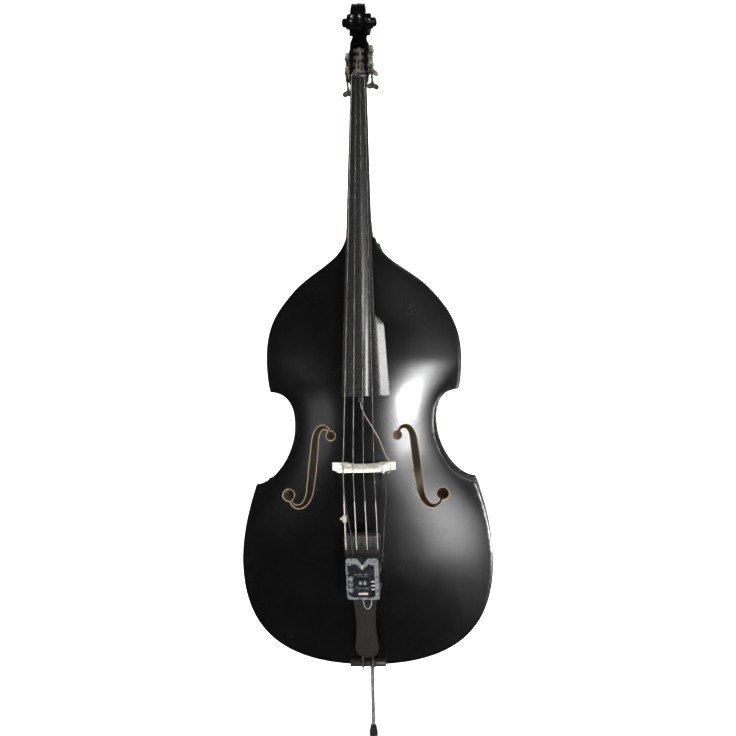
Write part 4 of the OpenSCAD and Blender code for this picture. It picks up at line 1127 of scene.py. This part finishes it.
# One leg of the cable, from inside the tailpiece over the saddle and under the body to the endpin's collar
leg = [tail((GUT_X, 0, -312)), tail((GUT_X, 0, -344)), (GUT_X, SADDLE_Y - 2.8, Z0 + 14),
       (GUT_X, SADDLE_Y - 2.8, Z0 + 3), (GUT_X, SADDLE_Y - 1.6, Z0 - 2), (GUT_X, SADDLE_Y + 4, Z0 - 4),
       (GUT_X + 2, -95, Z0 - 5), (GUT_X + 6, -60, Z0 - 4), (LOOP_R - 2, -22, Z0 - 0.5)]
loop = [arr(LOOP_R * math.cos(a), LOOP_R * math.sin(a), Z0 - 0.5)
        for a in map(math.radians, range(-10, 191, 20))]
gut_route = [arr(*p) for p in leg] + loop + [arr(-p[0], p[1], p[2]) for p in reversed(leg)]
CABLE = make_wound("cable", (0.16, 0.16, 0.17), (0.40, 0.40, 0.42), 0.36, 1.0, 160)
make("tail_cable", tube(smooth_line(gut_route, 4), GUT_R, 14), CABLE, "bass", "tailgut", 60)

# ---------------------------------------------------------------- endpin
COLLAR_SIDES = 64
collar = [(5.05, 197), (19.6, 197), (21.0, 197.6), (21.5, 199), (21.5, 203), (20.4, 204.2), (20.4, 206),
          (21.5, 207.2), (21.5, 217), (20.6, 218.4), (18, 218.8), (18, 273.4), (17.2, 274), (5.05, 274)]
points, faces = lathe(collar, COLLAR_SIDES)
# the two end caps make way for a bore, whose wall joins the last ring to the first
n, last = COLLAR_SIDES, COLLAR_SIDES * (len(collar) - 1)
faces = faces[:-2] + [(k, (k + 1) % n, last + (k + 1) % n, last + k) for k in range(n)]
make("collar_turned", (points, faces), LACQUER, "bass", "endpin_collar", 35)
band = [(20.4, 204.3), (21.9, 204.4), (22.1, 205.1), (21.9, 205.8), (20.4, 205.9)]
make("collar_band", lathe(band, COLLAR_SIDES), BRASS, "bass", (), 35, like="endpin_screw")
ROD_R, NOTCH_R, NOTCHES, NOTCH_FIRST, NOTCH_STEP = 5, 4.55, 7, 60, 34
rod = [(4.2, 8), (ROD_R, 8.8)]
for k in range(NOTCHES):
    z = NOTCH_FIRST + NOTCH_STEP * k
    rod += [(ROD_R, z), (NOTCH_R, z + 1.2), (NOTCH_R, z + 3.2), (ROD_R, z + 4.4)]
rod += [(ROD_R, 406.8), (4.2, 408)]
make("rod_notched", lathe(rod, 48), ROD_STEEL, "endpin", "endpin_rod", 30)
foot = [(0.01, 0), (9.3, 0), (10.6, 0.5), (11, 1.6), (11, 3.4), (10.3, 4.0), (10.3, 4.8), (11, 5.4),
        (11, 7.4), (10.3, 8), (10.3, 8.8), (11, 9.4), (11, 12), (10.2, 17), (9, 22), (8.6, 26), (7.9, 28.6),
        (6.8, 30), (5.02, 30), (5.02, 29)]
make("foot_moulded", lathe(foot, 56), RUBBER, "endpin", "endpin_foot", 30)
refine("endpin_screw", BRASS, 0.5)

# ---------------------------------------------------------------- tuners
MESH_GAP, WORM_TILT, SHAFT_X = 19.0, math.radians(20), 32.5
THREAD_R, THREAD_BAR, THREAD_LOW, THREAD_LONG, THREAD_TURNS, THREAD_STEPS = 3.0, 0.6, -7.5, 15, 5, 120
KEY_TURN = [0, 60, 30, 15]
# Half of a key's grip, as place along its shaft and half width
KEY_HALF = [(44, 3.4), (47.5, 4.6), (50, 11), (53, 15.2), (57.5, 16.9), (64, 16.4), (68.5, 11), (67.6, 6.2),
            (65.6, 2.6)]
KEY_SHAFT = [(2.4, -14), (3, -13.4), (3, -8.6), (2.7, -8), (2.7, 8), (3, 8.6), (3, 14), (3.5, 14.3),
             (3.5, 15.2), (3.1, 15.8), (3.1, 24), (3.9, 24.8), (3.9, 26.4), (3.1, 27.2), (3.1, 40),
             (4.2, 41.5), (4.2, 44.2), (3, 45)]
BARREL = [(3.4, 36.9), (3.5, 36.5), (3.5, 27.8), (4.9, 27.6), (5, 27.2), (5, 15.2), (6.4, 14.6), (7, 14.0),
          (7, 12.6), (6.7, 12), (7, 11.4), (7, -11.4), (6.7, -12), (7, -12.6), (7, -14.0), (6.4, -14.6),
          (5, -15.2), (5, -20.6), (4.6, -21)]


def worm_place(i):
    """Places a point on the worm's own axis, turned to its key's rest angle."""
    t = math.radians(KEY_TURN[i])
    a = math.radians(-90) - WORM_TILT

    def place(p):
        x, y = p[0] * math.cos(t) - p[1] * math.sin(t), p[0] * math.sin(t) + p[1] * math.cos(t)
        y, z = y * math.cos(a) - p[2] * math.sin(a), y * math.sin(a) + p[2] * math.cos(a)
        return head((ROLLER_SIDE[i] * SHAFT_X + x, ROLLER_V - MESH_GAP * math.sin(WORM_TILT) + y,
                     ROLLER_U[i] - MESH_GAP * math.cos(WORM_TILT) + z))
    return place


def roller_place(i):
    """Places a point on the roller's own axis, with its wheel on the side it belongs to."""
    side = ROLLER_SIDE[i]

    def place(p):
        return head((side * p[2], ROLLER_V + p[1], ROLLER_U[i] - side * p[0]))
    return place


for i, name in enumerate(STRING_NAMES):
    put = worm_place(i)
    shaft = lathe(KEY_SHAFT, 40, put)
    thread_line = []
    for k in range(THREAD_STEPS + 1):
        a = 2 * math.pi * THREAD_TURNS * k / THREAD_STEPS
        z = THREAD_LOW + THREAD_LONG * k / THREAD_STEPS
        thread_line.append(put((THREAD_R * math.cos(a), THREAD_R * math.sin(a), z)))
    thread = tube(thread_line, THREAD_BAR, 8)
    outline = smooth_line(KEY_HALF, 4)
    outline = [(q[1], q[0]) for q in outline] + [(-q[1], q[0]) for q in reversed(outline)]
    handle = slab(outline, -2.5, 2.5, lambda p, put=put: put((p[0], p[2], p[1])), 1.3, 4)
    key = "key_" + name
    # the d key takes the lighter nickel as painted light, and the other three keys take the darker copy as
    # painted shade, though all four keys are alike
    make(key + "_cast", join(shaft, thread, handle), NICKEL if i == 2 else SHADED_NICKEL, key, key, 35)
    roller = "roller_" + name
    # the rollers sit inside the pegbox and take the darker nickel: painted shade
    make(roller + "_turned", lathe(BARREL, 48, roller_place(i)), SHADED_NICKEL, roller, roller, 32)
    refine("gear_" + name, NICKEL, 0.25)
for side, word in SIDES:
    refine("tuner_plate_" + word, ENGRAVED, 0.45)
refine("tuner_screws", STEEL, 0.25)

# ---------------------------------------------------------------- preamp
FRONT = -29.5
CASE_TOP, CASE_W, CASE_H = -53.0, 84.0, 114.0
RIM_IN, RIM_HALF, RIM_ROUND = 0.8, 0.9, 0.4
FACE_BITS = ("bass", (), 40)


def on_panel(p):
    """Place of a point given across, along and out of the preamp's panel."""
    return tail((p[0], FRONT - p[2], p[1]))


def round_rect(w, h, r, at=(0, 0), n=6):
    """Outline of a rectangle with rounded corners."""
    out = []
    for sx, sz, turn_from in CORNERS:
        corner = (at[0] + sx * (w / 2 - r), at[1] + sz * (h / 2 - r))
        for k in range(n + 1):
            a = math.radians(turn_from + 90 * k / n)
            out.append((corner[0] + r * math.cos(a), corner[1] + r * math.sin(a)))
    return out


refine("preamp_case", BLACK_PLASTIC, 1.2)
refine("preamp_panel", PANEL_BLACK, 0.7)
refine("preamp_board", BOARD_GREEN, 0.2)
refine("preamp_strap", SILVER, 0.4)
refine("preamp_jack", SILVER, 0.5)
refine("preamp_lights", WHITE_MARK, 0.5)
MID = CASE_TOP - CASE_H / 2
window = [(30, -72), (30, -156), (24, -160), (-24, -160), (-37.5, -157), (-37.5, -70), (-16, -68), (0, -86),
          (16, -70)]
frame_line = round_rect(CASE_W - 2 * RIM_IN, CASE_H - 2 * RIM_IN, 7.4, (0, MID))
# the V notch sits in the top edge, after the first corner
frame_line[7:7] = [(15, CASE_TOP - RIM_IN), (0, CASE_TOP - 20), (-13, CASE_TOP - RIM_IN)]
cut_piece("panel_rim", [frame_line, window[::-1]], RIM_HALF, RIM_ROUND,
          lambda p: on_panel((p[0], p[1], p[2] + RIM_HALF)), SILVER, ())


def bars(name, list_of, mat, height=0.9):
    """Small raised bars on the panel, each given by its middle, width and height."""
    shapes = []
    for x, s, w, h in list_of:
        shapes.append(slab(round_rect(w, h, min(w, h) * 0.45, (x, s), 4), 0.0, height, on_panel, 0.35, 2))
    make(name, join(*shapes), mat, *FACE_BITS, like="preamp_panel")


def pointer(body, w, h, r, at, low, high, rim):
    """White line on a knob or a fader."""
    line = slab(round_rect(w, h, r, at, 3), low, high, on_panel, rim, 2)
    make(body + "_line", line, WHITE_MARK, body, (), 40, like="preamp_lights")


bars("panel_marks", [(-7, -97, 11, 1.8), (9, -97, 9, 1.8), (-17, -98, 3, 5), (-17, -133, 3, 3),
                     (16, -133, 3, 3), (0, -101.5, 24, 1.0), (0, -135, 26, 1.8), (-12, -140, 2.5, 2.5),
                     (12, -140, 2.5, 2.5)], SILVER)
bars("panel_label", [(0, -150, 25, 6)], PINK_MARK, 1.6)
bars("panel_studs", [(-34, -157, 6, 5), (-18, -163, 8, 4), (17, -163, 8, 4), (33, -161, 7, 6),
                     (-33, -69, 9, 7)], SILVER, 2.0)
SCREWS = [(0, -77, 3.4), (-36, -62, 2.6), (36, -62, 2.6), (-36.5, -92, 2.6), (-36, -160, 2.6),
          (36, -152, 2.6)]
for x, s, r in SCREWS:
    dome = [(r, 1.9), (r, 2.7), (r * 0.75, 3.3), (0.01, 3.5)]
    screw = lathe(dome, 24, lambda p, x=x, s=s: on_panel((x + p[0], s + p[1], p[2])))
    name = "panel_screw_%d_%d" % (x + 50, -s)
    make(name, screw, STEEL if x else WHITE_MARK, *FACE_BITS, like="preamp_panel")
KNOB_X, KNOB_SIDES = -30, 60
# Radius, height and depth of the flutes
KNOB = [(3.0, -11.7, 0), (3.0, 0.3, 0), (6.2, 0.3, 0), (6.4, 0.9, 0.4), (6.2, 6.6, 0.4), (5.6, 7.9, 0.2),
        (5.0, 8.3, 0), (2.0, 8.1, 0), (0.4, 8.1, 0)]
for word, s in (("top", -107.0), ("middle", -122.3), ("bottom", -137.6)):
    rings = []
    for r, h, flute in KNOB:
        ring = []
        for k, a in enumerate(around(KNOB_SIDES)):
            reach = r - flute * (k % 3 == 0)
            ring.append(on_panel((KNOB_X + reach * math.cos(a), s + reach * math.sin(a), h)))
        rings.append(ring)
    b = "preamp_knob_" + word
    make(b + "_fluted", loft(rings), SILVER, b, b, 30)
    pointer(b, 0.9, 4.4, 0.4, (KNOB_X, s + 3.2), 8.0, 8.6, 0.2)
for word, x in (("left", -5.5), ("right", 5.5)):
    b = "preamp_fader_" + word
    refine(b, SILVER, 0.5)
    pointer(b, 6.0, 0.8, 0.3, (x, -119), 4.9, 5.25, 0.12)

# ---------------------------------------------------------------- pickups and wolf eliminator
DISC = [(0.01, 0), (9.2, 0), (10, 0.7), (10, 4.3), (9.2, 5), (6.5, 5), (6.2, 4.6), (0.01, 4.6)]
DISC_X, DISC_Y, DISC_Z = 52, -162, BRIDGE_Z - 15.4
for side, word, stands_for in ((-1, "left", "bridge_pickups"), (1, "right", ())):
    shape = lathe(DISC, 48, lambda p, side=side: (side * DISC_X + p[0], DISC_Y + p[1], DISC_Z + p[2]))
    make("pickup_disc_" + word, shape, STEEL, "bass", stands_for, 35, like="bridge_pickups")
refine("board_pickup", BLACK_PLASTIC, 0.3)
refine("wolf_eliminator", PALE_METAL, 0.5)

# ---------------------------------------------------------------- floor, backdrop and lights
backdrop = new_material("pale_floor", (0.86, 0.86, 0.86), 0.85)
paint(backdrop, noise(backdrop, place_of(backdrop), 0.8, 3),
      [(0.3, (0.84, 0.84, 0.845)), (0.7, (0.88, 0.88, 0.88))])
# Metres: the floor runs back, bends up with this radius, and ends as a wall
SWEEP_BACK, SWEEP_R, SWEEP_STEPS, SWEEP_HALF, WALL_TOP = 3.4, 1.2, 16, 9.0, 7.0
sweep = [(-9.0, 0.0), (SWEEP_BACK, 0.0)]
for k in range(1, SWEEP_STEPS + 1):
    a = math.pi / 2 * k / SWEEP_STEPS
    sweep.append((SWEEP_BACK + SWEEP_R * math.sin(a), SWEEP_R - SWEEP_R * math.cos(a)))
sweep.append((4.6, WALL_TOP))
verts = [(x, y, z) for y, z in sweep for x in (-SWEEP_HALF, SWEEP_HALF)]
me = bpy.data.meshes.new("floor")
me.from_pydata(verts, [], [(2 * k, 2 * k + 1, 2 * k + 3, 2 * k + 2) for k in range(len(sweep) - 1)])
me.materials.append(backdrop)
me.shade_smooth()
floor = new_object("floor", me)
floor.visible_glossy = False


def softbox(name, at, aim, size, power, spread=170, seen=True):
    """Rectangular lamp at a place in metres, turned to face another. An unseen one has no reflection."""
    lamp = bpy.data.lights.new(name, "AREA")
    lamp.shape = "RECTANGLE"
    lamp.size, lamp.size_y = size
    lamp.energy = power
    lamp.spread = math.radians(spread)
    ob = new_object(name, lamp)
    ob.location = at
    ob.rotation_euler = (Vector(aim) - Vector(at)).to_track_quat("-Z", "Y").to_euler()
    ob.visible_glossy = seen


softbox("backdrop_light", (0, 1.6, 4.2), (0, 3.8, 0.8), (6, 2.0), 420)
softbox("floor_light", (0, 2.4, 3.6), (0, 2.0, 0), (6, 2.0), 220)
softbox("front_floor_light", (0, -3.4, 4.4), (0, -3.6, 0), (6, 2.0), 170, 100, seen=False)
overhead = bpy.data.lights.new("overhead", "SUN")
overhead.energy = 2.6
overhead.angle = math.radians(25)
new_object("overhead", overhead).visible_glossy = False
softbox("right_window", (1.13, -3.1, 0.40), (0.1, -0.1, 0.76), (0.16, 0.62), 4.0, 44)
softbox("left_window", (-1.75, -3.0, 0.84), (-0.1, -0.1, 0.84), (0.30, 0.7), 0.1, 44)
softbox("board_window", (1.5, -3.0, 2.2), (0.06, -0.2, 1.0), (0.5, 0.5), 1.7, 60)
softbox("head_window", (0.55, -2.4, 2.25), (0, -0.15, 1.76), (0.35, 0.35), 0.5, 34)
softbox("front_fill", (0.5, -3.3, 1.15), (0, -0.1, 1.05), (0.8, 0.8), 1.6, 44, seen=False)
softbox("left_fill", (-2.3, -2.6, 1.5), (0, -0.1, 1.05), (1.0, 1.0), 9, 40, seen=False)
world = bpy.data.worlds.new("studio")
world.use_nodes = True
tree = world.node_tree
# white to the camera, and nearly black to everything else
dim, pale = tree.nodes["Background"], tree.nodes.new("ShaderNodeBackground")
for background, strength in ((dim, 0.05), (pale, 0.95)):
    background.inputs["Color"].default_value = (1, 1, 1, 1)
    background.inputs["Strength"].default_value = strength
rays = tree.nodes.new("ShaderNodeLightPath")
either = tree.nodes.new("ShaderNodeMixShader")
tree.links.new(rays.outputs["Is Camera Ray"], either.inputs["Fac"])
tree.links.new(dim.outputs["Background"], either.inputs[1])
tree.links.new(pale.outputs["Background"], either.inputs[2])
tree.links.new(either.outputs["Shader"], tree.nodes["World Output"].inputs["Surface"])
scene.world = world
scene.view_settings.view_transform = "Standard"
scene.view_settings.look = "None"
